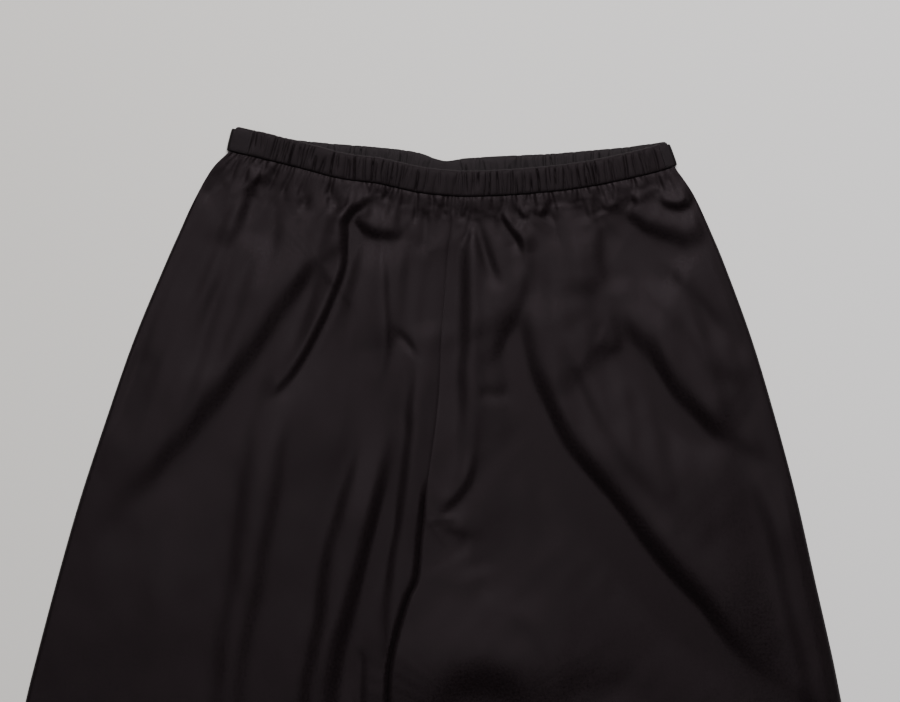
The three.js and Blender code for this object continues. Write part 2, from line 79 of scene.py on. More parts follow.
# Front cloth: its thickness in metres, the air under it, the dips along its seams, how its edges
# close, and the climb of the right leg over the left
CLOTH_THICKNESS = 0.0009
SEAM_HEIGHT = 4.6
SEAM_EASE = 22.0
SEAM_DIP = 0.4
SEAM_DIP_REACH = 1.1
SEAM_DIP_CHANGE = 0.9
CENTRE_DIP = 0.35
CENTRE_DIP_REACH = 1.1
PUFF = 3.4
LEAST_AIR = 0.4
FLOOR_SOFTNESS = 2.2
SIDE_EASE = 80.0
SIDE_AIR = 0.7
EDGE_ROLL = 12.0
EDGE_ROUND = 3.0
CLOSED_EDGE = 1.42
INNER_ROUND = {"left": 4.0, "right": 2.4}
UNDER_MARGIN = 0.5
COLUMN_MARGIN = 5.0
CLIMB_START = 240.0
CLIMB_END = 318.0
CLIMB_WIDTH = 40.0

Side = namedtuple("Side", "down left right")
SIDES = [
    Side(21, -171, 196),
    Side(33, -183.5, 198.5),
    Side(45, -191, 206.5),
    Side(58, -196.7, 214),
    Side(78, -205, 222),
    Side(111, -219.7, 236),
    Side(176, -246.7, 259.8),
    Side(242, -269.7, 279.5),
    Side(307, -291, 296.7),
    Side(373, -309.8, 311.5),
    Side(438, -327, 326.2),
    Side(471, -335.2, 332.8),
    Side(560, -355, 351),
    Side(700, -379, 376),
    Side(860, -399, 397),
    Side(990, -412, 411),
]

# Centre seam to the crotch, then each leg's inner edge: the right leg lies over the left
INNER_EDGES = [
    Side(50, 15, 15),
    Side(86, 12.3, 12.3),
    Side(111, 9.8, 9.8),
    Side(143, 7.4, 7.4),
    Side(176, 5, 5),
    Side(209, 3.8, 3.8),
    Side(242, 1, 1),
    Side(274, -3.4, -3.4),
    Side(307, -8.2, -8.2),
    Side(316, -9.2, -9.2),
    Side(322, -9.6, -9.6),
    Side(340, -7, -11.5),
    Side(373, -3, -15),
    Side(389, -1, -22),
    Side(422, 1, -32),
    Side(447, 3, -37),
    Side(473, 4, -38),
    Side(600, 10, -38),
    Side(800, 20, -36),
    Side(990, 30, -34),
]

# Middle line of the band's front, and of its back, which stands higher between the ends
Point = namedtuple("Point", "across down")
BAND_FRONT_LINE = [
    Point(-175, 8.5),
    Point(-166.5, 11),
    Point(-141, 17),
    Point(-108, 25.2),
    Point(-75.5, 33.6),
    Point(-44, 37.8),
    Point(-11, 45.1),
    Point(20.5, 48),
    Point(53, 47.4),
    Point(85, 45.1),
    Point(117.5, 41.3),
    Point(149.5, 35.3),
    Point(182, 27.5),
    Point(195, 23),
    Point(204, 19.8),
]
BAND_BACK_LINE = [
    Point(-175, 8.5),
    Point(-166.5, 11),
    Point(-149.5, 15.2),
    Point(-132.5, 19.6),
    Point(-115.5, 22.5),
    Point(-82, 25.8),
    Point(-49, 28.4),
    Point(-18, 32.2),
    Point(-2, 37.6),
    Point(9, 39.7),
    Point(26, 37.6),
    Point(58.5, 35.6),
    Point(92, 34),
    Point(125, 31.4),
    Point(158, 28.4),
    Point(178, 25.6),
    Point(195, 23),
    Point(204, 19.8),
]
# The band's back has no gathers between these two places across
SMOOTH_BACK = (-6.0, 20.0)

# Folds of the front. A "face" is the steep side of a ridge: the ridge stands "rise" high on the
# right of someone who walks down the path, or on their left where rise is below 0, with a
# trough on the other side. A "crease" is a ridge, or a trough where rise is below 0. width is
# in millimetres at the path's start and grows by the factor spread along it, and start and end
# are the shares of the rise at the path's two ends.
Fold = namedtuple("Fold", "kind width spread rise start end path")
FACE = "face"
CREASE = "crease"
FRONT_FOLDS = [
    # left side, from the waist seam
    Fold(FACE, 4.6, 1.2, 3.6, 1, 0.6, [(-50, 48), (-53, 59), (-61, 66), (-69, 72), (-74, 81), (-75, 92)]),
    Fold(FACE, 3.8, 1.1, 3.4, 0.7, 0.5, [
        (-72, 90), (-73, 107), (-76, 121), (-81, 134), (-86, 147), (-92, 160), (-100, 176), (-109, 192),
        (-117, 204), (-124, 212),
    ]),
    Fold(FACE, 6.2, 1.0, -3.0, 0.3, 0.7, [(-70, 80), (-60, 84), (-50, 89), (-42, 90)]),
    Fold(FACE, 8.0, 1.9, 3.6, 0.3, 0.3, [
        (-92, 110), (-99, 115), (-108, 126), (-121, 143), (-140, 172), (-168, 209), (-201, 250),
        (-228, 281), (-246, 300), (-260, 315),
    ]),
    Fold(CREASE, 9.0, 1.4, 1.0, 0.2, 0, [(-98, 66), (-122, 100), (-156, 150), (-192, 204)]),
    Fold(CREASE, 8.0, 1.6, -0.7, 0.2, 0, [(-114, 60), (-142, 96), (-180, 150), (-216, 214)]),
    Fold(CREASE, 8.0, 1.6, 0.9, 0, 0, [(-160, 96), (-190, 140), (-222, 200), (-244, 260)]),
    Fold(CREASE, 9.0, 1.2, -1.2, 0, 0, [(-142, 131), (-164, 158), (-184, 186), (-200, 212)]),
    Fold(CREASE, 10.0, 1.2, -1.0, 0, 0, [(-230, 180), (-246, 213), (-262, 266)]),
    Fold(FACE, 3.0, 1.4, 4.2, 1, 0.3, [(-133, 30), (-138, 38), (-144, 45), (-151, 50)]),
    Fold(FACE, 6.0, 1.6, 2.0, 0.2, 0, [(-150, 48), (-155, 62), (-158, 82), (-162, 104)]),
    Fold(FACE, 3.4, 1.4, 1.3, 0.6, 0, [(-158, 24), (-166, 30), (-178, 36), (-190, 44)]),
    Fold(CREASE, 5.0, 1.4, -1.0, 0.4, 0, [(-170, 44), (-180, 52), (-194, 60)]),
    Fold(CREASE, 5.0, 1.8, -1.1, 0.8, 0, [(-128, 36), (-130, 52), (-133, 84), (-136, 112), (-150, 142)]),
    Fold(CREASE, 3.6, 1.8, -1.4, 0.8, 0, [(-101, 40), (-106, 52), (-108, 62), (-103, 78)]),
    Fold(CREASE, 5.4, 1.2, -2.6, 0.8, 0, [(-88, 42), (-85, 53), (-81, 65), (-80, 77)]),
    Fold(FACE, 4.4, 1.1, 1.5, 0.4, 0.3, [
        (-42, 102), (-40, 123), (-39, 148), (-38, 168), (-38, 184), (-42, 204),
    ]),
    Fold(FACE, 12.0, 1.0, 1.9, 0.3, 0.2, [(-26, 92), (-24, 126), (-22, 158), (-18, 180)]),
    Fold(CREASE, 3.4, 1.0, -1.2, 0.4, 0.3, [(-33, 169), (-25, 177), (-15, 189)]),
    Fold(CREASE, 4.4, 1.2, -1.6, 0.6, 0.1, [(-8, 64), (-8, 86), (-12, 112)]),
    Fold(CREASE, 4.4, 1.4, -1.5, 0.7, 0.1, [(-26, 60), (-27, 78), (-25, 100)]),
    Fold(CREASE, 2.0, 1.2, -1.1, 0.8, 0, [(0, 60), (5, 68), (10, 77)]),
    Fold(CREASE, 2.0, 1.2, -1.1, 0.8, 0, [(30, 60), (25, 71), (18, 81)]),
    # left leg: long soft pleats down from the folds above
    Fold(FACE, 9.0, 1.2, -1.6, 0.1, 0.5, [
        (-140, 218), (-148, 249), (-152, 274), (-157, 299), (-162, 340), (-165, 372), (-171, 400),
        (-175, 430), (-179, 476), (-198, 640), (-224, 860),
    ]),
    Fold(FACE, 8.6, 1.1, 1.9, 0.2, 0.3, [
        (-110, 216), (-118, 244), (-125, 268), (-129, 298), (-135, 324), (-141, 350), (-145, 378),
        (-150, 400), (-156, 428), (-163, 480), (-178, 620), (-200, 820),
    ]),
    Fold(FACE, 7.6, 0.9, -2.2, 0, 0.5, [
        (-50, 220), (-60, 250), (-66, 276), (-74, 302), (-81, 326), (-88, 350), (-92, 378), (-95, 408),
        (-101, 436), (-107, 470), (-124, 640), (-146, 860),
    ]),
    Fold(FACE, 6.0, 1.6, 4.8, 0, 0.5, [
        (-36, 246), (-41, 277), (-46, 302), (-51, 326), (-57, 350), (-64, 376), (-71, 401), (-78, 426),
        (-82, 450), (-86, 480), (-98, 640), (-116, 840),
    ]),
    Fold(FACE, 6.6, 0.75, -2.0, 0.3, 0.3, [
        (-18, 176), (-17, 192), (-18, 212), (-21, 234), (-21, 252), (-24, 276), (-27, 300), (-31, 326),
        (-36, 352), (-38, 376), (-40, 400), (-40, 436),
    ]),
    Fold(CREASE, 4.0, 1.2, -2.0, 0, 0.3, [(-62, 426), (-63, 448), (-63, 480), (-68, 560)]),
    Fold(CREASE, 24.0, 1.0, 1.4, 0, 0.4, [(-222, 330), (-222, 420), (-240, 640), (-268, 900)]),
    Fold(CREASE, 24.0, 1.0, -1.4, 0, 0.4, [(-276, 420), (-300, 620), (-330, 900)]),
    # right side, from the waist seam
    Fold(FACE, 8.5, 1.1, -2.2, 0.4, 0.2, [
        (20, 88), (24, 100), (25, 118), (25, 150), (25, 176), (22, 200), (23, 222), (22, 250),
        (20, 284),
    ]),
    Fold(CREASE, 3.2, 1.2, -2.0, 0.8, 0.1, [(31, 64), (29, 76), (27, 88), (22, 102)]),
    Fold(CREASE, 4.2, 1.6, -2.2, 0.7, 0, [(31, 66), (35, 86), (41, 106), (48, 124), (56, 138)]),
    Fold(FACE, 3.6, 1.2, -3.0, 0.7, 0.3, [(54, 71), (58, 79), (64, 88), (70, 96), (73, 108)]),
    Fold(FACE, 6.5, 1.3, 1.7, 0.5, 0, [
        (73, 100), (74, 118), (73, 134), (69, 150), (60, 168), (50, 188), (42, 204),
    ]),
    Fold(CREASE, 6.0, 1.0, -0.9, 0.1, 0, [(34, 217), (44, 221), (56, 221), (66, 217)]),
    Fold(FACE, 2.8, 1.6, -2.8, 0.9, 0.4, [(118, 48), (121, 57), (125, 70), (129, 83)]),
    Fold(FACE, 7.0, 1.7, 2.4, 0.5, 0, [(129, 80), (132, 94), (134, 110), (135, 126), (136, 142)]),
    Fold(CREASE, 12.0, 1.2, 1.3, 0.2, 0.1, [(112, 84), (112, 130), (114, 172)]),
    Fold(FACE, 3.4, 1.3, -3.4, 1, 0.2, [(154, 46), (158, 53), (163, 60), (169, 67)]),
    Fold(CREASE, 2.4, 1.2, -1.5, 1, 0, [(172, 40), (176, 47), (181, 54), (187, 60)]),
    Fold(FACE, 8.0, 2.0, -4.2, 0.7, 0, [
        (166, 79), (174, 84), (184, 88), (196, 92), (208, 97), (220, 103),
    ]),
    Fold(FACE, 4.6, 1.2, -3.2, 0.5, 0.6, [
        (184, 60), (190, 65), (199, 67), (206, 64), (210, 57), (211, 46),
    ]),
    Fold(CREASE, 12.0, 1.2, 0.3, 0.2, 0.2, [(146, 90), (160, 122), (184, 160), (206, 196)]),
    Fold(FACE, 8.0, 1.2, -1.7, 0.2, 0, [(176, 106), (192, 120), (209, 135), (233, 160), (254, 186)]),
    Fold(FACE, 8.0, 1.2, -1.3, 0.1, 0, [(160, 120), (182, 146), (206, 172), (228, 200), (246, 222)]),
    Fold(FACE, 8.0, 1.0, -1.1, 0, 0, [(126, 180), (136, 184), (148, 184), (158, 180)]),
    Fold(FACE, 15.0, 0.7, -5.2, 0, 0.25, [
        (144, 146), (154, 158), (165, 171), (175, 185), (187, 203), (199, 219), (211, 232), (225, 246),
        (238, 255), (249, 261),
    ]),
    Fold(FACE, 9.0, 1.2, -1.0, 0, 0.1, [(236, 190), (254, 220), (270, 258)]),
    Fold(FACE, 17.0, 0.6, -2.8, 0, 0.7, [
        (64, 142), (72, 160), (78, 180), (82, 198), (87, 214), (96, 232),
    ]),
    Fold(FACE, 13.0, 1.1, -7.8, 0.35, 0.3, [
        (90, 222), (97, 238), (107, 256), (118, 273), (132, 290), (146, 307), (159, 323), (171, 339),
        (185, 356), (201, 374), (218, 392), (231, 408), (247, 427), (265, 446), (290, 466),
    ]),
    Fold(FACE, 7.0, 2.0, -2.4, 0, 0, [
        (98, 150), (103, 172), (110, 194), (120, 212), (130, 232), (142, 254), (156, 276), (180, 302),
        (204, 328), (224, 354),
    ]),
    Fold(FACE, 12.0, 1.0, -3.8, 0, 0.4, [
        (246, 262), (260, 294), (272, 322), (279, 350), (285, 378), (291, 406), (299, 436), (306, 470),
        (324, 600), (340, 720),
    ]),
    # crotch and right leg
    Fold(FACE, 4.8, 0.8, 1.8, 0.2, 0.2, [(34, 262), (29, 288), (21, 302), (13, 311), (5, 319)]),
    Fold(FACE, 5.4, 1.2, -0.9, 0.4, 0, [(3, 329), (10, 332), (20, 334), (30, 334)]),
    Fold(CREASE, 12.0, 1.0, -1.0, 0, 0, [(16, 340), (30, 352), (36, 372)]),
    Fold(CREASE, 1.8, 1.0, 0.8, 0.6, 0, [(-4, 325), (6, 323), (20, 322)]),
    Fold(CREASE, 2.2, 1.0, 0.8, 0.6, 0, [(-4, 327), (3, 335), (9, 346)]),
    Fold(FACE, 9.0, 1.2, 0.9, 0.1, 0, [(24, 336), (34, 350), (36, 372), (31, 394)]),
    Fold(CREASE, 24.0, 1.0, -2.4, 0.3, 0.6, [(38, 500), (40, 520), (42, 550)]),
    Fold(CREASE, 52.0, 1.0, 3.2, 1, 1, [(30, 440), (50, 444)]),
    Fold(FACE, 20.0, 1.0, -5.0, 0.1, 0.2, [
        (0, 520), (4, 486), (16, 463), (32, 456), (48, 456), (62, 464), (70, 484), (74, 520),
    ]),
    Fold(FACE, 11.0, 1.0, -1.1, 0, 0.3, [
        (60, 396), (72, 408), (84, 424), (93, 444), (98, 474), (102, 520),
    ]),
    Fold(CREASE, 15.0, 1.0, -1.2, 0, 0, [(96, 460), (134, 464), (178, 456)]),
    Fold(CREASE, 18.0, 1.0, 1.5, 0, 0.4, [(74, 560), (78, 740), (88, 980)]),
    Fold(CREASE, 18.0, 1.0, -1.5, 0, 0.4, [(150, 500), (164, 700), (182, 980)]),
    Fold(CREASE, 22.0, 1.0, 1.5, 0, 0.4, [(206, 480), (232, 700), (252, 980)]),
    Fold(CREASE, 20.0, 1.0, -1.3, 0, 0.4, [(262, 540), (290, 740), (312, 980)]),
    # short gathers of their own below the waist seam
    Fold(FACE, 3.2, 1.4, -2.8, 1, 0.2, [(64, 61), (69, 71), (77, 78)]),
    Fold(FACE, 2.8, 1.2, 2.4, 1, 0, [(96, 58), (91, 68), (85, 77)]),
    Fold(FACE, 3.2, 1.2, -2.4, 1, 0, [(134, 54), (138, 64), (142, 72)]),
]

# Shallow folds of the back, drawn as on the front: hollows that the cloth keeps above the surface
BACK_FOLDS = [
    Fold(CREASE, 7.0, 1.2, 0.9, 0.6, 0, [(-62, 40), (-74, 90), (-96, 150), (-130, 220)]),
    Fold(CREASE, 9.0, 1.2, 0.9, 0, 0, [(-110, 110), (-150, 180), (-200, 250), (-250, 310)]),
    Fold(CREASE, 8.0, 1.2, 0.9, 0, 0, [(-24, 200), (-30, 290), (-44, 400), (-60, 560)]),
    Fold(CREASE, 9.0, 1.2, 0.9, 0, 0, [(-110, 240), (-130, 340), (-150, 470), (-176, 700)]),
    Fold(CREASE, 12.0, 1.2, 0.8, 0, 0.3, [(-250, 420), (-280, 640), (-310, 900)]),
    Fold(CREASE, 7.0, 1.2, 0.9, 0.6, 0, [(58, 40), (62, 100), (50, 170), (40, 240)]),
    Fold(CREASE, 8.0, 1.2, 0.9, 0.5, 0, [(126, 40), (134, 110), (140, 180)]),
    Fold(CREASE, 10.0, 1.2, 0.9, 0, 0, [(92, 190), (140, 280), (200, 360), (270, 440)]),
    Fold(CREASE, 9.0, 1.2, 0.9, 0, 0, [(170, 150), (210, 210), (250, 250)]),
    Fold(CREASE, 12.0, 1.2, 0.8, 0, 0.3, [(120, 470), (140, 700), (160, 930)]),
    Fold(CREASE, 12.0, 1.2, 0.8, 0, 0.3, [(230, 500), (260, 720), (290, 940)]),
]
# Stretches of each fold's curve, and the share of its path over which it fades at each end
FOLD_STEPS = 30
FOLD_FADE = 0.3
# Steepness of a face, how far its ridge and trough reach, and how far a crease does, in widths;
# past the margin times that reach, a fold isn't worked out
FACE_STEEPNESS = 1.35
FACE_REACH = 3.0
CREASE_REACH = 1.3
REACH_MARGIN = 2.1
# Where the hollows of the back start and are full, in from the edges, the height they stay under,
# and the share that the back's gathers add to them
BACK_ROLL = (4, 22)
BACK_HOLLOW = 1.1
BACK_GATHERS = 0.7

# Gathers below the waist seam of each panel, and narrow roots between them. Each takes its sizes
# from these lists and ranges, and the longer a gather is, the lower.
PANEL_GATHERS = 30
GATHER_DEPTH = 0.85
GATHER_LENGTHS = [14, 22, 34, 50]
GATHER_WIDTHS = (1.6, 2.6)
GATHER_SPREADS = (1.6, 3.2)
GATHER_RISES = (0.45, 1.25)
GATHER_LEAN = 0.3
FULL_RISE_LENGTH = 12
CREASE_SHARE = 0.6
ROOTS = 15
ROOT_LENGTHS = (12, 28)
ROOT_WIDTHS = (1.6, 2.2)
ROOT_SPREAD = 1.2
ROOT_RISES = (0.7, 1.2)
ROOT_LEAN = 0.35
SEAM_TUCK = 1.0

# Puckers right at the seam, long low streaks down from it, and the unevenness of resting cloth
PUCKER_LENGTH = 6.0
PUCKERS = 35
PUCKER_DRIFT = 2.4
PUCKER_TURNS = 17
PUCKER_RISE = 0.18
STREAKS = 14
STREAK_RISE = 1.05
STREAK_WAVES = (4, 16)
STREAK_DRIFT = 0.015
STREAK_MIDDLES = (0, 160)
STREAK_REACHES = (50, 160)
UNEVEN_RISE = 0.2
UNEVEN_WAVES = 22
UNEVEN_LENGTHS = (14, 90)
UNEVEN_FULL_LENGTH = 60
UNEVEN_GROWTH = 0.8

# Grid sizes of the cloth: columns, and rows for each stretch of the panel's length below its seam
Rows = namedtuple("Rows", "below count")
FRONT_COLUMNS = 196
FRONT_LENGTH = HEM_DOWN - FRONT_SEAM_DOWN
FRONT_ROWS = [Rows(60, 46), Rows(425, 128), Rows(FRONT_LENGTH - 26, 46), Rows(FRONT_LENGTH, 14)]
BACK_COLUMNS = 90
BACK_LENGTH = HEM_DOWN - BACK_SEAM_DOWN
BACK_ROWS = [Rows(60, 30), Rows(425, 80), Rows(BACK_LENGTH - 26, 50), Rows(BACK_LENGTH, 14)]

# The hem is turned up inside and stitched down; the row of stitches stops short of the edges
HEM_TURN = 20.0
HEM_EDGE = (HEM_TURN - 1.5, HEM_TURN + 0.5)
HEM_STEP = 0.35
HEM_WIDTH = 435.6
STITCH_SHARES = (0.012, 0.988)
STITCH_ROW = 17.5
STITCH_DIP = 0.25
STITCH_PITCH = 3.4
STITCH_LENGTH = 2.5
STITCH_WIDTH = 0.55
STITCH_RISE = 0.3


def smoothstep(value, low, high):
    t = np.clip((value - low) / (high - low), 0, 1)
    return t * t * (3 - 2 * t)


def lerp(a, b, t):
    return a + (b - a) * t


def read(rows, key, field, at):
    """A smooth curve through a table's rows, read at values of its key column."""
    keys = np.array([getattr(row, key) for row in rows], float)
    values = np.array([getattr(row, field) for row in rows], float)
    last = len(rows) - 1
    before = np.maximum(np.arange(last + 1) - 1, 0)
    after = np.minimum(np.arange(last + 1) + 1, last)
    slopes = (values[after] - values[before]) / (keys[after] - keys[before])
    at = np.clip(at, keys[0], keys[-1])
    k = np.clip(np.searchsorted(keys, at, side="right") - 1, 0, last - 1)
    step = keys[k + 1] - keys[k]
    t = (at - keys[k]) / step
    start = values[k] * (1 + 2 * t) * (1 - t) ** 2
    end = values[k + 1] * t * t * (3 - 2 * t)
    return start + end + step * (slopes[k] * t * (1 - t) ** 2 - slopes[k + 1] * t * t * (1 - t))


def place(across, down, height):
    """Plan measures in millimetres to the frame, in metres."""
    return np.stack(np.broadcast_arrays(across, HEM_DOWN / 2 - down, height), axis=-1) * MM


def band_frame(line, across):
    """How far down a band's middle line lies, its run, and the direction of its lower edge."""
    reach = 2.0
    down = read(line, "across", "down", across)
    rise = read(line, "across", "down", across + reach) - read(line, "across", "down", across - reach)
    size = np.hypot(2 * reach, rise)
    run = (2 * reach / size, rise / size)
    return down, run, (-run[1], run[0])


def smooth_path(path, steps):
    """A curve through the path's points, as evenly many points for each stretch."""
    points = np.array(path, float)
    padded = np.vstack([2 * points[0] - points[1], points, 2 * points[-1] - points[-2]])
    place_on = np.linspace(0, len(points) - 1, steps + 1)
    k = np.minimum(place_on.astype(int), len(points) - 2)
    t = (place_on - k)[:, None]
    a, b, c, d = padded[k], padded[k + 1], padded[k + 2], padded[k + 3]
    bend = (2 * a - 5 * b + 4 * c - d) * t * t + (3 * b - a - 3 * c + d) * t ** 3
    return 0.5 * (2 * b + (c - a) * t + bend)


def fold_rise(fold, across, down):
    """Rise of one fold at plan points."""
    line = smooth_path(fold.path, FOLD_STEPS)
    reach = REACH_MARGIN * (FACE_REACH if fold.kind == FACE else CREASE_REACH)
    reach = reach * fold.width * max(1, fold.spread)
    low = line.min(axis=0) - reach
    high = line.max(axis=0) + reach
    near = (across > low[0]) & (across < high[0]) & (down > low[1]) & (down < high[1])
    rise = np.zeros_like(across)
    if not near.any():
        return rise
    start = line[:-1]
    run = line[1:] - start
    off_x = across[near][:, None] - start[:, 0]
    off_y = down[near][:, None] - start[:, 1]
    t = np.clip((off_x * run[:, 0] + off_y * run[:, 1]) / (run ** 2).sum(axis=1), 0, 1)
    off_x = off_x - t * run[:, 0]
    off_y = off_y - t * run[:, 1]
    square = off_x ** 2 + off_y ** 2
    k = square.argmin(axis=1)
    pick = np.arange(len(k))
    along = (k + t[pick, k]) / len(run)
    width = fold.width * lerp(1, fold.spread, along)
    distance = np.sqrt(square[pick, k]) / width
    if fold.kind == FACE:
        beside = run[k, 0] * off_y[pick, k] - run[k, 1] * off_x[pick, k]
        beside = beside / np.hypot(run[k, 0], run[k, 1]) / width
        shape = np.tanh(FACE_STEEPNESS * beside) * np.exp(-((distance / FACE_REACH) ** 2))
    else:
        shape = np.exp(-distance ** 2)
    strength = lerp(fold.start, 1, smoothstep(along, 0, FOLD_FADE))
    strength = strength * lerp(1, fold.end, smoothstep(along, 1 - FOLD_FADE, 1))
    rise[near] = fold.rise * shape * strength
    return rise


def folds_rise(folds, across, down):
    return sum(fold_rise(fold, across, down) for fold in folds)


def seam_ends(side):
    """Where a panel's waist seam starts and stops across."""
    if side == "left":
        return BAND_END_LEFT, INNER_EDGES[0].left
    return INNER_EDGES[0].right, BAND_END_RIGHT


def either_way(random, reach, count=None):
    """Random numbers between minus the reach and the reach."""
    return random.uniform(-reach, reach, count)


def gather_folds(side, line, depth, seed):
    """Short folds down from a panel's waist seam, no two of one length, lean or depth."""
    random = np.random.default_rng(seed)
    ends = seam_ends(side)
    folds = []
    for number in range(PANEL_GATHERS):
        across = lerp(*ends, (number + 0.5 + either_way(random, 0.4)) / PANEL_GATHERS)
        length = random.choice(GATHER_LENGTHS) * random.uniform(0.8, 1.25)
        lean = either_way(random, GATHER_LEAN)
        path = seam_path(line, across, length, lean, either_way(random, GATHER_LEAN))
        width = random.uniform(*GATHER_WIDTHS)
        rise = depth * random.uniform(*GATHER_RISES) / math.sqrt(length / FULL_RISE_LENGTH)
        kind = CREASE if random.random() < CREASE_SHARE else FACE
        sign = -1 if kind == CREASE or random.random() < 0.5 else 1
        folds.append(Fold(kind, width, random.uniform(*GATHER_SPREADS), sign * rise, 1, 0, path))
    for number in range(ROOTS):
        across = lerp(*ends, (number + 0.5 + either_way(random, 0.45)) / ROOTS)
        length = random.uniform(*ROOT_LENGTHS)
        path = seam_path(line, across, length, either_way(random, ROOT_LEAN), 0)
        width = random.uniform(*ROOT_WIDTHS)
        rise = -depth * random.uniform(*ROOT_RISES)
        folds.append(Fold(CREASE, width, ROOT_SPREAD, rise, 1, 0, path))
    return folds


def seam_path(line, across, length, lean, bend):
    """Path of a short fold that starts just under the band, at the waist seam."""
    down, _, lower = band_frame(line, across)
    path = []
    for share in (0.0, 0.5, 1.0):
        reach = BAND_HEIGHT / 2 - SEAM_TUCK + length * share
        drift = length * (lean * share + bend * share * share)
        path.append((across + lower[0] * reach + drift, down + lower[1] * reach))
    return path


def streaks(share, below, seed):
    """Long low ripples that fan out below the waist seam and fade on the way to the hem."""
    random = np.random.default_rng(seed)
    rise = np.zeros_like(share)
    for _ in range(STREAKS):
        waves = random.uniform(*STREAK_WAVES)
        phase = random.uniform(0, 2 * math.pi)
        drift = either_way(random, STREAK_DRIFT)
        middle = random.uniform(*STREAK_MIDDLES)
        reach = random.uniform(*STREAK_REACHES)
        ripple = np.sin(2 * math.pi * waves * share + phase + drift * below)
        rise += ripple * np.exp(-(((below - middle) / reach) ** 2)) / waves
    return rise * STREAK_RISE


def unevenness(across, down, seed):
    """Slow low waves, in every direction, of cloth that rests on cloth."""
    random = np.random.default_rng(seed)
    rise = np.zeros_like(across)
    for _ in range(UNEVEN_WAVES):
        length = random.uniform(*UNEVEN_LENGTHS)
        turn = random.uniform(0, math.pi)
        phase = random.uniform(0, 2 * math.pi)
        wave = across * math.cos(turn) + down * math.sin(turn)
        growth = (length / UNEVEN_FULL_LENGTH) ** UNEVEN_GROWTH
        rise += np.sin(2 * math.pi * wave / length + phase) * growth
    return rise * UNEVEN_RISE / math.sqrt(UNEVEN_WAVES)


def climb(across, down):
    """Height of the right leg's back over the surface, where it climbs the left leg."""
    top = read(INNER_EDGES, "down", "left", down) + COLUMN_MARGIN
    start = smoothstep(down, CLIMB_START, CLIMB_END)
    return 2 * LAYER * start * (1 - smoothstep(across, top, top + CLIMB_WIDTH))


def edge_distances(side, across, down):
    """Distance from the outer edge and from a leg's inner edge, and how far down the leg starts."""
    outer = np.abs(read(SIDES, "down", side, down) - across)
    inner = read(INNER_EDGES, "down", "right", down)
    margin = inner - UNDER_MARGIN - across if side == "left" else across - inner
    return outer, margin, smoothstep(down, *LEG_START)


class Valleys:
    """Narrow valleys that cross a band between its puffed gathers, no two alike."""

    def __init__(self, start, stop, count, width, seed):
        random = np.random.default_rng(seed)
        gaps = random.choice(VALLEY_GAPS, count + 1) * random.uniform(0.85, 1.15, count + 1)
        self.places = start + (stop - start) * np.cumsum(gaps)[:-1] / gaps.sum()
        self.depths = random.choice(VALLEY_DEPTHS, count) * random.uniform(0.85, 1.1, count)
        self.widths = width * random.uniform(0.6, 1.5, count)
        self.leans = either_way(random, VALLEY_LEAN, count)
        self.bends = either_way(random, VALLEY_BEND, count)
        self.middles = either_way(random, VALLEY_MIDDLE, count)
        self.spans = random.uniform(*VALLEY_SPANS, count)

    def relief(self, across, height):
        """Height of the cloth between 0 in the deepest valley and 1 on the puffs."""
        left = np.ones(np.broadcast(across, height).shape)
        for k in range(len(self.places)):
            off = across - (self.places[k] + self.leans[k] * height + self.bends[k] * height ** 2)
            off = (off / self.widths[k]) ** 2
            window = np.exp(-(((height - self.middles[k]) / self.spans[k]) ** 4))
            valley = (1 - SHOULDER) * np.exp(-off) + SHOULDER * np.exp(-off / SHOULDER_REACH ** 2)
            left = left * (1 - np.minimum(self.depths[k] * window * valley, 1))
        return left


def panel_points(side, line, seam_down, share, row_down):
    """Plan points of a panel: its top follows the band's lower edge, the rest the outline."""
    band_across = lerp(*seam_ends(side), share)
    band_down, _, lower = band_frame(line, band_across)
    offset = BAND_HEIGHT / 2 + SEAM_GAP / 3
    seam_across = band_across + lower[0] * offset
    seam_at = band_down + lower[1] * offset
    below = row_down - seam_down
    ease = np.maximum(0, 1 - below / WAIST_EASE) ** 2
    outer_share = 1 - share if side == "left" else share
    hem = HEM_RISE * outer_share * smoothstep(row_down, HEM_RISE_FROM, HEM_DOWN)
    down = row_down + (seam_at - seam_down) * ease - hem

    def edges(at):
        outer = read(SIDES, "down", side, at)
        inner = read(INNER_EDGES, "down", side, at)
        gap = SEAM_GAP / 3
        if side == "left":
            return lerp(outer, inner - gap, share)
        return lerp(inner + gap, outer, share)

    shift = (seam_across - edges(seam_at)) * (1 - smoothstep(below, 0, CORNER_EASE))
    return edges(down) + shift, down, below


def row_downs(seam_down, stretches):
    """Row places down the panel from its stretches."""
    downs = []
    start = 0.0
    for stretch in stretches:
        downs.append(np.linspace(start, stretch.below, stretch.count, endpoint=False))
        start = stretch.below
    return seam_down + np.concatenate(downs + [[start]])


def deselect():
    bpy.ops.object.select_all(action="DESELECT")


def cloth_grid(name, columns, rows):
    """A flat grid, ready to be shaped: its points run along the columns, row by row."""
    deselect()
    bpy.ops.mesh.primitive_grid_add(x_subdivisions=columns, y_subdivisions=rows, size=1)
    piece = bpy.context.object
    piece.name = name
    if len(piece.data.vertices) != (columns + 1) * (rows + 1):
        raise RuntimeError(f"{name}: the grid has {len(piece.data.vertices)} points")
    return piece


def set_points(piece, points):
    piece.data.vertices.foreach_set("co", points.reshape(-1))
    piece.data.update()


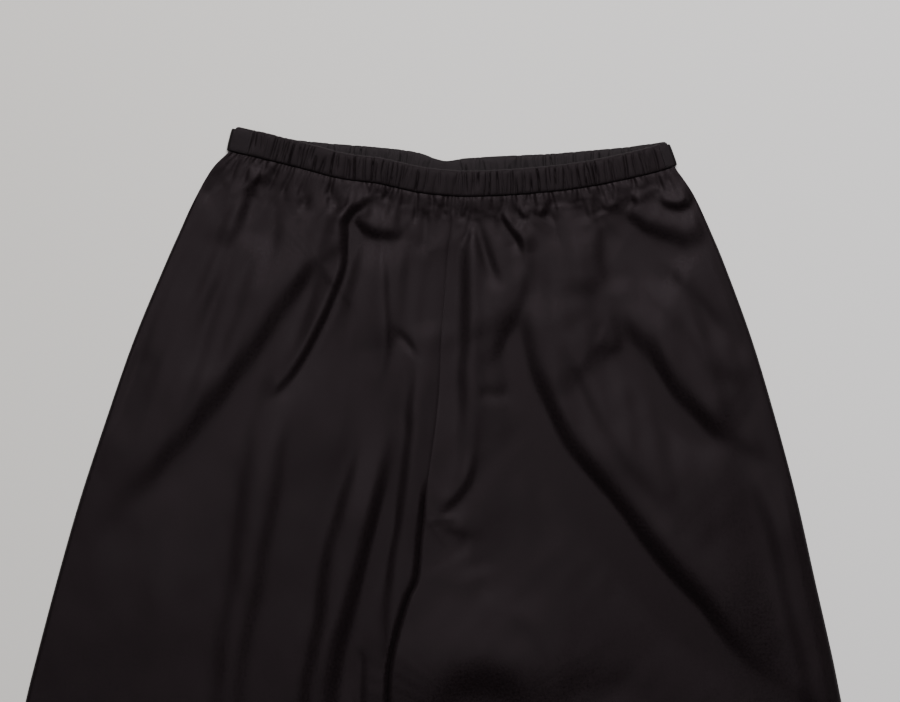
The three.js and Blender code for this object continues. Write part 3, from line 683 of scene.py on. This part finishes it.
def set_weave_map(piece, across, down):
    """The piece's UV map holds the cloth's own measures, in metres."""
    mesh = piece.data
    corners = np.empty(len(mesh.loops), dtype=np.int32)
    mesh.loops.foreach_get("vertex_index", corners)
    flat = np.stack([across.reshape(-1)[corners], -down.reshape(-1)[corners]], axis=-1) * MM
    layer = mesh.uv_layers.active or mesh.uv_layers.new(name="weave")
    layer.name = "weave"
    layer.data.foreach_set("uv", flat.astype(np.float32).reshape(-1))


def point_outwards(piece):
    bpy.ops.object.mode_set(mode="EDIT")
    bpy.ops.mesh.select_all(action="SELECT")
    bpy.ops.mesh.normals_make_consistent(inside=False)
    bpy.ops.object.mode_set(mode="OBJECT")


def give_thickness(piece, thickness):
    """Solidify on both sides of the shaped sheet, with its rims closed."""
    bpy.ops.object.modifier_add(type="SOLIDIFY")
    wall = piece.modifiers[-1]
    wall.thickness = thickness
    wall.offset = 0
    bpy.ops.object.modifier_apply(modifier=wall.name)
    point_outwards(piece)
    bpy.ops.object.shade_smooth_by_angle(angle=math.radians(50))


def declare_cloth(piece, node, material):
    piece.data.materials.clear()
    piece.data.materials.append(material)
    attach(piece, "root")
    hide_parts(node)


def soft_floor(value, floor, softness):
    """The value, eased so that it never goes below the floor."""
    return floor + np.logaddexp(0, softness * (value - floor)) / softness


def hem_rise(below):
    """Thickness of the hem's turning, with a dip along its stitches."""
    up = FRONT_LENGTH - below
    turning = HEM_STEP * (1 - smoothstep(up, *HEM_EDGE))
    return turning - STITCH_DIP * np.exp(-((up - STITCH_ROW) ** 2))


def front_height(side, across, down, below, share, depth, seed):
    """Middle of the front cloth's thickness, over the surface."""
    outer, margin, leg = edge_distances(side, across, down)
    sides = smoothstep(outer, 0, SIDE_EASE)
    sides = lerp(SIDE_AIR, 1, sides)
    relief = folds_rise(FRONT_FOLDS, across, down) + unevenness(across, down, seed)
    relief = (relief + streaks(share, below, seed)) * smoothstep(outer, 0, EDGE_ROLL)
    settled = lerp(SEAM_HEIGHT, PUFF * sides + relief, smoothstep(below, 0, SEAM_EASE))
    gathers = folds_rise(gather_folds(side, BAND_FRONT_LINE, depth, seed), across, down)
    wave = np.sin(2 * math.pi * PUCKERS * share + PUCKER_DRIFT * np.sin(PUCKER_TURNS * share))
    puckers = PUCKER_RISE * wave * np.exp(-below / PUCKER_LENGTH)
    seam_dip = SEAM_DIP * (1 - SEAM_DIP_CHANGE * wave) * np.exp(-((below / SEAM_DIP_REACH) ** 2))
    surface = LAYER + CAD_WALL / 2 + settled + gathers + puckers - seam_dip + hem_rise(below)
    centre = np.abs(across - read(INNER_EDGES, "down", "left", down))
    surface = surface - (1 - leg) * CENTRE_DIP * np.exp(-((centre / CENTRE_DIP_REACH) ** 2))
    base = 0 if side == "left" else climb(across, down)
    least = base + LAYER + CAD_WALL / 2 + LEAST_AIR
    height = soft_floor(surface, least, FLOOR_SOFTNESS)
    closed = base + CLOSED_EDGE
    outer_turn = np.clip(outer / EDGE_ROUND, 0, 1)
    inner_turn = np.clip(margin / INNER_ROUND[side], 0, 1)
    turn = np.sqrt(1 - (1 - outer_turn) ** 2)
    if side == "left":
        turn = turn * lerp(1, smoothstep(inner_turn, 0, 1), leg)
    else:
        turn = turn * lerp(1, np.sqrt(1 - (1 - inner_turn) ** 2), leg)
    return lerp(closed, height, turn)


def back_height(side, across, down, below, share, depth, seed):
    """Middle of the back cloth's thickness, over the surface."""
    outer, margin, leg = edge_distances(side, across, down)
    roll = smoothstep(outer, *BACK_ROLL) * lerp(1, smoothstep(margin, *BACK_ROLL), leg)
    gathers = folds_rise(gather_folds(side, BAND_BACK_LINE, depth, seed), across, down)
    hollow = folds_rise(BACK_FOLDS, across, down) + BACK_GATHERS * np.abs(gathers)
    hollow = BACK_HOLLOW * np.tanh(hollow / BACK_HOLLOW) * roll
    base = 0 if side == "left" else climb(across, down)
    return base + CLOTH_THICKNESS / 2 / MM + hollow


def cloth_panel(settings, name, side, line, seam_down, columns, stretches, seed, height_of):
    """A leg's front or back, from the waist seam to the hem, as a sheet with thickness."""
    rows = row_downs(seam_down, stretches)
    share, row_down = np.meshgrid(np.linspace(0, 1, columns + 1), rows)
    across, down, below = panel_points(side, line, seam_down, share, row_down)
    height = height_of(side, across, down, below, share, settings.gather_depth, seed)
    piece = cloth_grid(name, columns, len(rows) - 1)
    set_points(piece, place(across, down, height))
    set_weave_map(piece, across, down)
    give_thickness(piece, CLOTH_THICKNESS)
    return piece


def hem_stitches(settings, name, side, seed):
    """A row of straight stitches along a front's hem."""
    count = int(HEM_WIDTH / STITCH_PITCH)
    share = (np.arange(count) + 0.5) / count
    ends = []
    for offset in (-0.5, 0.5):
        at = np.clip(share + offset * STITCH_LENGTH / HEM_WIDTH, *STITCH_SHARES)
        row = np.full(count, HEM_DOWN - STITCH_ROW)
        across, down, below = panel_points(side, BAND_FRONT_LINE, FRONT_SEAM_DOWN, at, row)
        height = front_height(side, across, down, below, at, settings.gather_depth, seed)
        ends.append(place(across, down, height + CLOTH_THICKNESS / 2 / MM))
    deselect()
    bpy.ops.mesh.primitive_uv_sphere_add(segments=6, ring_count=4, radius=0.5)
    stitch = bpy.context.object
    stitch.scale = Vector((STITCH_LENGTH, STITCH_WIDTH, 2 * STITCH_RISE)) * MM
    bpy.ops.object.transform_apply(location=False, rotation=False, scale=True)
    copies = []
    for start, end in zip(*ends):
        run = Vector(end - start)
        copy = stitch.copy()
        copy.data = stitch.data.copy()
        copy.location = Vector((start + end) / 2)
        copy.rotation_euler = run.to_track_quat("X", "Z").to_euler()
        bpy.context.collection.objects.link(copy)
        copies.append(copy)
    bpy.data.objects.remove(stitch)
    deselect()
    for copy in copies:
        copy.select_set(True)
    bpy.context.view_layer.objects.active = copies[0]
    bpy.ops.object.join()
    row = bpy.context.object
    row.name = name
    bpy.ops.object.transform_apply(location=True, rotation=True, scale=True)
    row.data.materials.clear()
    row.data.materials.append(shared_material(thread_material, "hem thread"))
    bpy.ops.object.shade_smooth()
    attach(row, "root")
    return row


# Band sections: points round each, millimetres from one to the next, and the relief of the
# gathers. A valley has a narrow bottom between shoulders that take a share of its depth. The
# fullness squares off the band's edges, and the corner rounds its top at both ends.
BAND_RING = 44
BAND_STEP = 0.6
BAND_CORE = 0.35
PUFF_RISE = 2.0
VALLEY_WIDTH = 0.75
VALLEY_GAPS = [0.4, 0.7, 1.0, 1.3, 1.8]
VALLEY_DEPTHS = [0.45, 0.65, 0.9, 1.0]
VALLEY_LEAN = 1.3
VALLEY_BEND = 0.9
VALLEY_MIDDLE = 0.8
VALLEY_SPANS = (0.7, 2.4)
VALLEY_FLOOR = 0.25
SHOULDER = 0.3
SHOULDER_REACH = 3.0
INNER_PUFF_RISE = 1.4
HIDDEN_RISE = 0.8
PLAIN_RISE = 0.9
PLAIN_EASE = 4
GATHER_EASE = 3
END_EASE = 5
EDGE_DIP = 0.8
SECTION_HEIGHT_POWER = 0.8
SECTION_FACE_POWER = 0.45
TOP_FULLNESS = 6
LOW_FULLNESS = 14
CORNER_DROP = 2.4
CORNER_REACH = 3.6
HALF_TURN_STATIONS = 18


def ring_section(count):
    """Places round a band's section: height share, and side, 1 on the outer face."""
    turn = np.linspace(0, 2 * math.pi, count, endpoint=False)
    height = np.sign(np.cos(turn)) * np.abs(np.cos(turn)) ** SECTION_HEIGHT_POWER
    face = np.sign(np.sin(turn)) * np.abs(np.sin(turn)) ** SECTION_FACE_POWER
    return height, face


def band_rings(line, across, turn, outer, inner):
    """Rings of the band's section. turn tilts each outer face from straight up; outer and inner
    give the relief of the two faces for stations along and height shares over the band."""
    height, face = ring_section(BAND_RING)
    across = across[:, None]
    turn = np.broadcast_to(turn, across.shape[:1])[:, None]
    height = np.broadcast_to(height, (len(across), BAND_RING))
    down, run, lower = band_frame(line, across)
    relief = np.where(face > 0, outer(across, height), inner(across, height))
    fullness = np.where(height > 0, np.abs(height) ** TOP_FULLNESS, np.abs(height) ** LOW_FULLNESS)
    swell = np.sqrt(np.clip(1 - fullness, 0, 1)) * np.sqrt(np.abs(face))
    edge = relief_dip(relief, height)
    end = np.minimum(across - BAND_END_LEFT, BAND_END_RIGHT - across)
    corner = 1 - np.clip(end / CORNER_REACH, 0, 1)
    drop = CORNER_DROP * (1 - np.sqrt(1 - corner ** 2)) * np.clip(height, 0, 1) ** 2
    offset = drop - height * (BAND_HEIGHT / 2 - edge)
    reach = BAND_LIFT / 2 + face * BAND_CORE + np.sign(face) * relief * swell
    tilt = np.sin(turn)
    centre = BAND_WALL / 2 + BAND_LIFT / 2
    return place(
        across + lower[0] * offset + run[0] * tilt * reach,
        down + lower[1] * offset + run[1] * tilt * reach,
        centre + np.cos(turn) * reach,
    )


def relief_dip(relief, height):
    """The band's edges draw in a little where its valleys end."""
    return EDGE_DIP * (1 - np.clip(relief / PUFF_RISE, 0, 1)) * np.abs(height) ** 3


def smooth_face(across, height):
    return np.full(np.broadcast(across, height).shape, PLAIN_RISE)


def gathered_face(valleys, rise, smooth=None):
    """Relief of a gathered face; smooth is a stretch along the band without gathers."""
    def face(across, height):
        relief = rise * lerp(VALLEY_FLOOR, 1, valleys.relief(across, height))
        if smooth is None:
            return relief
        share = 1 - smoothstep(across, smooth[0] - PLAIN_EASE, smooth[0] + GATHER_EASE)
        share = share + smoothstep(across, smooth[1] - GATHER_EASE, smooth[1] + PLAIN_EASE)
        share = share * smoothstep(across, BAND_END_LEFT, BAND_END_LEFT + END_EASE)
        share = share * (1 - smoothstep(across, BAND_END_RIGHT - END_EASE, BAND_END_RIGHT))
        return lerp(PLAIN_RISE, relief, share)
    return face


def band_mesh(name, rings):
    """A closed band through its rings of points, capped at both ends."""
    closed = np.concatenate([rings, rings[:, :1]], axis=1)
    piece = cloth_grid(name, BAND_RING, len(rings) - 1)
    set_points(piece, closed)
    middle = rings.mean(axis=1)
    along = np.concatenate([[0], np.cumsum(np.linalg.norm(np.diff(middle, axis=0), axis=1))]) / MM
    around, station = np.meshgrid(np.linspace(0, 2 * BAND_HEIGHT, BAND_RING + 1), along * BAND_RATIO)
    set_weave_map(piece, station, around)
    bpy.ops.object.mode_set(mode="EDIT")
    bpy.ops.mesh.select_all(action="SELECT")
    bpy.ops.mesh.remove_doubles(threshold=1e-6)
    bpy.ops.mesh.select_all(action="DESELECT")
    bpy.ops.mesh.select_non_manifold()
    bpy.ops.mesh.fill_holes(sides=0)
    bpy.ops.object.mode_set(mode="OBJECT")
    point_outwards(piece)
    bpy.ops.object.shade_smooth_by_angle(angle=math.radians(60))
    return piece


def stations(start, stop):
    return np.linspace(start, stop, int(abs(stop - start) / BAND_STEP) + 2)


def band_front(name):
    start = SIDE_SEAM_LEFT + SEAM_GAP / 2
    stop = SIDE_SEAM_RIGHT - SEAM_GAP / 2
    outside = Valleys(start, stop, FRONT_VALLEYS, VALLEY_WIDTH, seed=11)
    inside = Valleys(start, stop, FRONT_VALLEYS, VALLEY_WIDTH, seed=12)
    rings = band_rings(BAND_FRONT_LINE, stations(start, stop), 0,
                       gathered_face(outside, PUFF_RISE), gathered_face(inside, HIDDEN_RISE))
    return band_mesh(name, rings)


def band_back(name):
    """The back band lies lower, and turns up round both ends to the front's side seams."""
    outside = Valleys(BAND_END_LEFT, BAND_END_RIGHT, BACK_VALLEYS, VALLEY_WIDTH, seed=21)
    inside = Valleys(BAND_END_LEFT, BAND_END_RIGHT, BACK_VALLEYS, VALLEY_WIDTH, seed=22)
    plain = (smooth_face, smooth_face)
    turns = np.linspace(0, math.pi, HALF_TURN_STATIONS + 2)[1:-1]
    right_end = np.full(HALF_TURN_STATIONS, BAND_END_RIGHT)
    left_end = np.full(HALF_TURN_STATIONS, BAND_END_LEFT)
    right = stations(SIDE_SEAM_RIGHT + SEAM_GAP / 2, BAND_END_RIGHT)
    left = stations(BAND_END_LEFT, SIDE_SEAM_LEFT - SEAM_GAP / 2)
    rings = [
        band_rings(BAND_FRONT_LINE, right, 0, *plain),
        band_rings(BAND_FRONT_LINE, right_end, turns, *plain),
        band_rings(BAND_BACK_LINE, stations(BAND_END_RIGHT, BAND_END_LEFT), math.pi,
                   gathered_face(outside, HIDDEN_RISE, SMOOTH_BACK),
                   gathered_face(inside, INNER_PUFF_RISE, SMOOTH_BACK)),
        band_rings(BAND_FRONT_LINE, left_end, math.pi + turns, *plain),
        band_rings(BAND_FRONT_LINE, left, 0, *plain),
    ]
    return band_mesh(name, np.concatenate(rings))


# The elastic draws the band's cloth in to one over the band ratio of its length
BAND_RATIO = 1.35


# Finish of the cloth: ribs and bump of its weave, shine, roughness, and the stretches over which
# the colours at the band's top edge fade, in metres. On the front band that colour is a painted
# highlight, where the rim catches the light.
RIBS_PER_METRE = 1400.0
CLOTH_BUMP = 0.32
BAND_BUMP = 0.35
BUMP_DEPTH = 0.0002
CLOTH_SHINE = 0.12
BAND_SHINE = 0.1
ROUGHNESS = 0.47
WEAR = 0.7
PAINTED_RIM_HIGHLIGHT_FADE = (0.002, 0.004)
LINING_EDGE = ((BAND_HEIGHT - 1) * MM, (BAND_HEIGHT + 1) * MM)
THREAD_COLOURS = ((0.012, 0.009, 0.01, 1), (0.03, 0.024, 0.026, 1))


def feed(tree, node, inputs):
    """Sets a node's inputs as constants or links, by socket name or number."""
    for key, value in inputs.items():
        if isinstance(value, bpy.types.NodeSocket):
            tree.links.new(value, node.inputs[key])
        else:
            node.inputs[key].default_value = value


def add_node(tree, kind, inputs, **values):
    node = tree.nodes.new(kind)
    for key, value in values.items():
        setattr(node, key, value)
    feed(tree, node, inputs)
    return node


def math_node(tree, operation, a, b=0.0):
    return add_node(tree, "ShaderNodeMath", {0: a, 1: b}, operation=operation).outputs[0]


def noise(tree, vector, scale, detail, roughness=0.5):
    return add_node(tree, "ShaderNodeTexNoise", {
        "Vector": vector, "Scale": scale, "Detail": detail, "Roughness": roughness,
    }).outputs[0]


def mix_colours(tree, share, first, second):
    return add_node(tree, "ShaderNodeMix", {0: share, 6: first, 7: second}, data_type="RGBA").outputs[2]


def object_position(tree):
    return add_node(tree, "ShaderNodeTexCoord", {}).outputs["Object"]


def group_node(tree, maker, name, inputs):
    """A shared node group, made at its first use, with values of its own."""
    group = bpy.data.node_groups.get(name) or maker(name)
    return add_node(tree, "ShaderNodeGroup", inputs, node_tree=group)


def new_group(name, inputs, outputs):
    """A node group that reads a vector and the named inputs, whose defaults tell their kind."""
    group = bpy.data.node_groups.new(name, "ShaderNodeTree")
    group.interface.new_socket(name="Vector", in_out="INPUT", socket_type="NodeSocketVector")
    for label, value in inputs.items():
        kind = "NodeSocketFloat" if isinstance(value, float) else "NodeSocketColor"
        group.interface.new_socket(name=label, in_out="INPUT", socket_type=kind).default_value = value
    for label, kind in outputs.items():
        group.interface.new_socket(name=label, in_out="OUTPUT", socket_type=kind)
    return group, group.nodes.new("NodeGroupInput"), group.nodes.new("NodeGroupOutput")


def twill_group(name):
    """Twill weave: slanting ribs of threads, broken by the crossing threads."""
    group, start, end = new_group(
        name, {"Ribs per metre": RIBS_PER_METRE, "Unevenness": 0.8},
        {"Height": "NodeSocketFloat", "Shade": "NodeSocketFloat"})
    vector = start.outputs["Vector"]
    turns = math_node(group, "MULTIPLY", start.outputs["Ribs per metre"], 2 * math.pi)
    waves = []
    for direction, share, strength in (((0.8, 0.6, 0), 1.0, 0.5), ((-0.35, 0.94, 0), 1.6, 0.22)):
        dot = add_node(group, "ShaderNodeVectorMath", {0: vector, 1: direction}, operation="DOT_PRODUCT")
        phase = math_node(group, "MULTIPLY", dot.outputs["Value"], turns)
        phase = math_node(group, "MULTIPLY", phase, share)
        wave = math_node(group, "SINE", phase)
        waves.append(math_node(group, "MULTIPLY", wave, strength))
    weave = math_node(group, "ADD", waves[0], waves[1])
    fine = noise(group, vector, 900.0, 2.0, 0.6)
    loose = math_node(group, "MULTIPLY", fine, start.outputs["Unevenness"])
    feed(group, end, {
        "Height": math_node(group, "ADD", weave, loose), "Shade": noise(group, vector, 460.0, 3.0, 0.7),
    })
    return group


def tone_group(name):
    """Uneven dye: slow shifts between two near colours, with thread-sized flecks."""
    near_black = (0.02, 0.015, 0.016, 1)
    group, start, end = new_group(
        name, {"Shade": 0.5, "Colour": near_black, "Second colour": near_black, "Fleck strength": 1.5},
        {"Colour": "NodeSocketColor", "Roughness": "NodeSocketFloat"})
    slow = noise(group, start.outputs["Vector"], 9.0, 3.0, 0.55)
    blend = mix_colours(group, slow, start.outputs["Colour"], start.outputs["Second colour"])
    centred = math_node(group, "SUBTRACT", start.outputs["Shade"], 0.5)
    fleck = math_node(group, "MULTIPLY", centred, start.outputs["Fleck strength"])
    gain = math_node(group, "ADD", fleck, 1.0)
    scaled = add_node(group, "ShaderNodeVectorMath", {0: blend, "Scale": gain}, operation="SCALE")
    wear = math_node(group, "MULTIPLY", centred, WEAR)
    feed(group, end, {
        "Colour": scaled.outputs[0], "Roughness": math_node(group, "ADD", wear, ROUGHNESS),
    })
    return group


def top_edge_group(name):
    """Mask of the cloth near a band's top edge, from where its weave map runs down the outside; on the
    front band it places a painted highlight.
    """
    group, start, end = new_group(name, {"Full until": 0.002, "None from": 0.004},
                                  {"Mask": "NodeSocketFloat"})
    axes = add_node(group, "ShaderNodeSeparateXYZ", {"Vector": start.outputs["Vector"]})
    mask = add_node(group, "ShaderNodeMapRange", {
        "Value": math_node(group, "ABSOLUTE", axes.outputs["Y"]), "From Min": start.outputs["Full until"],
        "From Max": start.outputs["None from"], "To Min": 1.0, "To Max": 0.0,
    }, interpolation_type="SMOOTHSTEP")
    feed(group, end, {"Mask": mask.outputs[0]})
    return group


def shared_material(maker, name, *values):
    """A material, made at its first use."""
    return bpy.data.materials.get(name) or maker(name, *values)


def new_material(name):
    material = bpy.data.materials.new(name)
    material.use_nodes = True
    tree = material.node_tree
    return material, tree, tree.nodes["Principled BSDF"]


def cloth_material(name, colour, second, bump, shine, edge=None):
    """Twill; edge is the colour near a band's top edge, and the stretch over which it fades: a painted
    highlight on the front band, the band's own colour on the lining.
    """
    material, tree, shader = new_material(name)
    weave_map = add_node(tree, "ShaderNodeUVMap", {}, uv_map="weave").outputs["UV"]
    weave = group_node(tree, twill_group, "twill weave", {
        "Vector": weave_map, "Ribs per metre": RIBS_PER_METRE,
    })
    tone = group_node(tree, tone_group, "uneven dye", {
        "Vector": object_position(tree), "Shade": weave.outputs["Shade"],
        "Colour": (*colour, 1), "Second colour": (*second, 1),
    })
    relief = add_node(tree, "ShaderNodeBump", {
        "Strength": bump, "Distance": BUMP_DEPTH, "Height": weave.outputs["Height"],
    })
    base = tone.outputs["Colour"]
    # The strip near the top edge takes the edge colour; on the front band this is a painted highlight.
    if edge is not None:
        painted_rim_highlight_and_band_colour, full_until, none_from = edge
        near = group_node(tree, top_edge_group, "near the top edge", {
            "Vector": weave_map, "Full until": full_until, "None from": none_from,
        })
        base = mix_colours(tree, near.outputs["Mask"], base, (*painted_rim_highlight_and_band_colour, 1))
    feed(tree, shader, {
        "Base Color": base, "Roughness": tone.outputs["Roughness"], "Normal": relief.outputs["Normal"],
        "Sheen Weight": 0.02, "Sheen Roughness": 0.4, "Specular IOR Level": shine,
        "Specular Tint": (1.0, 0.82, 0.9, 1),
    })
    return material


def twill_cloth(settings):
    return shared_material(cloth_material, "dark twill", settings.cloth_colour,
                           settings.second_colour, CLOTH_BUMP, CLOTH_SHINE)


def band_cloth(settings):
    # The front band's top edge carries a painted highlight, for the light its rim catches.
    return shared_material(cloth_material, "waistband twill", settings.band_colour,
                           settings.second_colour, BAND_BUMP, BAND_SHINE,
                           (settings.painted_rim_highlight_and_band_colour, *PAINTED_RIM_HIGHLIGHT_FADE))


def band_back_cloth(settings):
    # The band's back: its inside is the band's twill painted lighter, for the light that falls on it; its
    # outer half keeps the band's own colour.
    return shared_material(cloth_material, "waistband lining", settings.lining_painted_light_colour,
                           settings.lining_painted_light_colour, BAND_BUMP, CLOTH_SHINE,
                           (settings.band_colour, *LINING_EDGE))


def thread_material(name):
    material, tree, shader = new_material(name)
    twist = noise(tree, object_position(tree), 2500.0, 2.0)
    feed(tree, shader, {"Base Color": mix_colours(tree, twist, *THREAD_COLOURS), "Roughness": 0.6})
    return material


def floor_material(settings):
    """A pale matt surface, painted a little lighter to the right, for the light that falls more strongly
    there.
    """
    material, tree, shader = new_material("pale surface")
    position = object_position(tree)
    axes = add_node(tree, "ShaderNodeSeparateXYZ", {"Vector": position})
    # Painted light: towards the right the colour shifts to the lighter one.
    across = add_node(tree, "ShaderNodeMapRange", {
        "Value": axes.outputs["X"], "From Min": -0.42, "From Max": 0.42, "To Min": -0.1, "To Max": 0.9,
    })
    grain = math_node(tree, "MULTIPLY", noise(tree, position, 3.0, 2.0), 0.2)
    share = math_node(tree, "ADD", grain, across.outputs[0])
    left, right = (*settings.floor_colour, 1), (*settings.floor_painted_light_colour, 1)
    feed(tree, shader, {
        "Base Color": mix_colours(tree, share, left, right), "Roughness": 0.75, "Specular IOR Level": 0.2,
    })
    return material


class TrouserSettings(bpy.types.PropertyGroup):
    """Sizes and colours of the cloth."""

    gather_depth: bpy.props.FloatProperty(
        name="Gather depth", description="Depth in millimetres of the gathers under the waist seam",
        default=GATHER_DEPTH)
    cloth_colour: bpy.props.FloatVectorProperty(
        name="Cloth colour", description="Colour of the twill", size=3, subtype="COLOR",
        default=(0.0058, 0.0040, 0.0045))
    second_colour: bpy.props.FloatVectorProperty(
        name="Second colour", description="Colour that the dye shifts towards", size=3, subtype="COLOR",
        default=(0.0068, 0.0046, 0.0053))
    band_colour: bpy.props.FloatVectorProperty(
        name="Band colour", description="Colour of the gathered band", size=3, subtype="COLOR",
        default=(0.0056, 0.0046, 0.0049))
    # Painted highlight: a lighter colour along the front band's top rim, for the light it catches.
    painted_rim_highlight_and_band_colour: bpy.props.FloatVectorProperty(
        name="Painted rim highlight colour", description="Painted highlight along the band's top edge, where its rim catches the light", size=3,
        subtype="COLOR", default=(0.021, 0.018, 0.019))
    # Painted light: the band's back is painted lighter than the band, for the light that falls on its
    # inside.
    lining_painted_light_colour: bpy.props.FloatVectorProperty(
        name="Inner band colour", description="Colour of the band's back, painted lighter for the light that falls on its inside", size=3,
        subtype="COLOR", default=(0.0090, 0.0079, 0.0083))


class StageSettings(bpy.types.PropertyGroup):
    """Surface, light and camera."""

    floor_colour: bpy.props.FloatVectorProperty(
        name="Surface colour", description="Colour of the surface the trousers lie on", size=3,
        subtype="COLOR", default=(0.702, 0.675, 0.644))
    # Painted light: the surface's colour towards the right, lighter for the light that falls more there.
    floor_painted_light_colour: bpy.props.FloatVectorProperty(
        name="Surface colour at right, painted lighter", description="Lighter colour towards the right, painted light on the surface", size=3,
        subtype="COLOR", default=(0.826, 0.806, 0.803))
    key_power: bpy.props.FloatProperty(
        name="Key light", description="Power of the soft light from beyond the waist", default=176.0,
        unit="POWER")
    lens: bpy.props.FloatProperty(
        name="Lens", description="Focal length of the camera", default=0.085, unit="LENGTH")


# Stage, in metres: the surface lies just below the trousers, the camera looks straight down on
# the part of them that the photo shows, and the light hangs beyond the waist
FLOOR_SIZE = 8
FLOOR_HEIGHT = -0.0004
VIEW_CENTRE = Vector((0.0123, HEM_DOWN / 2 * MM - 0.1852, 0))
VIEW_WIDTH = 0.7377
VIEW_HEIGHT = 0.004
SENSOR = 0.036
KEY_PLACE = VIEW_CENTRE + Vector((0.22, 1.75, 2.7))
KEY_SIZE = (1.9, 2.8)
ROOM_COLOUR = (1.0, 0.995, 0.985, 1)
ROOM_STRENGTH = 0.06


class TROUSERS_OT_front_panels(bpy.types.Operator):
    """Makes the two front panels, from the waist seam to the hems"""

    bl_idname = "trousers.front_panels"
    bl_label = "Front panels"

    def execute(self, context):
        settings = context.scene.trousers
        for side, seed, under in (("left", 5, "cloth_back_left"), ("right", 6, "cloth_back_right")):
            piece = cloth_panel(settings, f"cloth_front_{side}", side, BAND_FRONT_LINE, FRONT_SEAM_DOWN,
                                FRONT_COLUMNS, FRONT_ROWS, seed, front_height)
            declare_cloth(piece, f"front_panel_{side}",
                          twill_cloth(settings))
            hem_stitches(settings, f"hem_stitches_{side}", side, seed)
        return {"FINISHED"}


class TROUSERS_OT_back_panels(bpy.types.Operator):
    """Makes the two back panels, which lie on the surface"""

    bl_idname = "trousers.back_panels"
    bl_label = "Back panels"

    def execute(self, context):
        settings = context.scene.trousers
        for side, seed in (("left", 7), ("right", 8)):
            piece = cloth_panel(settings, f"cloth_back_{side}", side, BAND_BACK_LINE, BACK_SEAM_DOWN,
                                BACK_COLUMNS, BACK_ROWS, seed, back_height)
            declare_cloth(piece, f"back_panel_{side}",
                          twill_cloth(settings))
        return {"FINISHED"}


class TROUSERS_OT_waistband(bpy.types.Operator):
    """Makes the front and the back of the gathered waistband"""

    bl_idname = "trousers.waistband"
    bl_label = "Waistband"

    def execute(self, context):
        settings = context.scene.trousers
        front = band_front("band_front")
        declare_cloth(front, "waistband_front",
                      band_cloth(settings))
        back = band_back("band_back")
        declare_cloth(back, "waistband_back",
                      band_back_cloth(settings))
        return {"FINISHED"}


class TROUSERS_OT_stage(bpy.types.Operator):
    """Makes the pale surface, the soft light and the camera straight above"""

    bl_idname = "trousers.stage"
    bl_label = "Surface, light and camera"

    def execute(self, context):
        settings = context.scene.trouser_stage
        deselect()
        bpy.ops.mesh.primitive_plane_add(size=FLOOR_SIZE, location=(0, 0, FLOOR_HEIGHT))
        floor = context.object
        floor.name = "surface"
        floor.data.materials.append(floor_material(settings))
        bpy.ops.object.transform_apply(location=True)
        key_light(settings)
        world = bpy.data.worlds.new("room")
        world.use_nodes = True
        feed(world.node_tree, world.node_tree.nodes["Background"], {
            "Color": ROOM_COLOUR, "Strength": ROOM_STRENGTH,
        })
        context.scene.world = world
        make_camera(context, settings)
        return {"FINISHED"}


def key_light(settings):
    """The one lamp, broad and soft."""
    deselect()
    bpy.ops.object.light_add(type="AREA", location=KEY_PLACE)
    light = bpy.context.object
    light.name = "key light"
    light.data.shape = "RECTANGLE"
    light.data.size, light.data.size_y = KEY_SIZE
    light.data.energy = settings.key_power
    light.rotation_euler = (VIEW_CENTRE - KEY_PLACE).to_track_quat("-Z", "Y").to_euler()


def make_camera(context, settings):
    """Straight above, with the photo's field of view on the cloth."""
    distance = VIEW_WIDTH * settings.lens / SENSOR
    deselect()
    bpy.ops.object.camera_add(location=VIEW_CENTRE + Vector((0, 0, distance + VIEW_HEIGHT)))
    camera = context.object
    camera.name = "camera"
    camera.data.lens = settings.lens * 1000
    camera.data.sensor_width = SENSOR * 1000
    camera.data.sensor_fit = "HORIZONTAL"
    camera.data.clip_end = 50
    camera.rotation_euler = (0, 0, 0)
    context.scene.camera = camera


class TROUSERS_PT_sidebar(bpy.types.Panel):
    """Lists the pieces of the trousers"""

    bl_idname = "TROUSERS_PT_sidebar"
    bl_label = "Wide-leg trousers"
    bl_space_type = "VIEW_3D"
    bl_region_type = "UI"
    bl_category = "Trousers"

    def draw(self, context):
        column = self.layout.column()
        for name in ("gather_depth", "cloth_colour", "second_colour", "band_colour", "painted_rim_highlight_and_band_colour",
                     "lining_painted_light_colour"):
            column.prop(context.scene.trousers, name)
        for name in ("floor_colour", "floor_painted_light_colour", "key_power", "lens"):
            column.prop(context.scene.trouser_stage, name)
        for operator in OPERATORS:
            column.operator(operator.bl_idname)


OPERATORS = (
    TROUSERS_OT_stage,
    TROUSERS_OT_back_panels,
    TROUSERS_OT_front_panels,
    TROUSERS_OT_waistband,
)
CLASSES = (TrouserSettings, StageSettings, *OPERATORS, TROUSERS_PT_sidebar)


def register():
    for item in CLASSES:
        bpy.utils.register_class(item)
    bpy.types.Scene.trousers = bpy.props.PointerProperty(type=TrouserSettings)
    bpy.types.Scene.trouser_stage = bpy.props.PointerProperty(type=StageSettings)


def unregister():
    del bpy.types.Scene.trouser_stage
    del bpy.types.Scene.trousers
    for item in reversed(CLASSES):
        bpy.utils.unregister_class(item)


def main():
    register()
    bpy.ops.trousers.stage()
    bpy.ops.trousers.back_panels()
    bpy.ops.trousers.front_panels()
    bpy.ops.trousers.waistband()


if __name__ == "__main__":
    main()
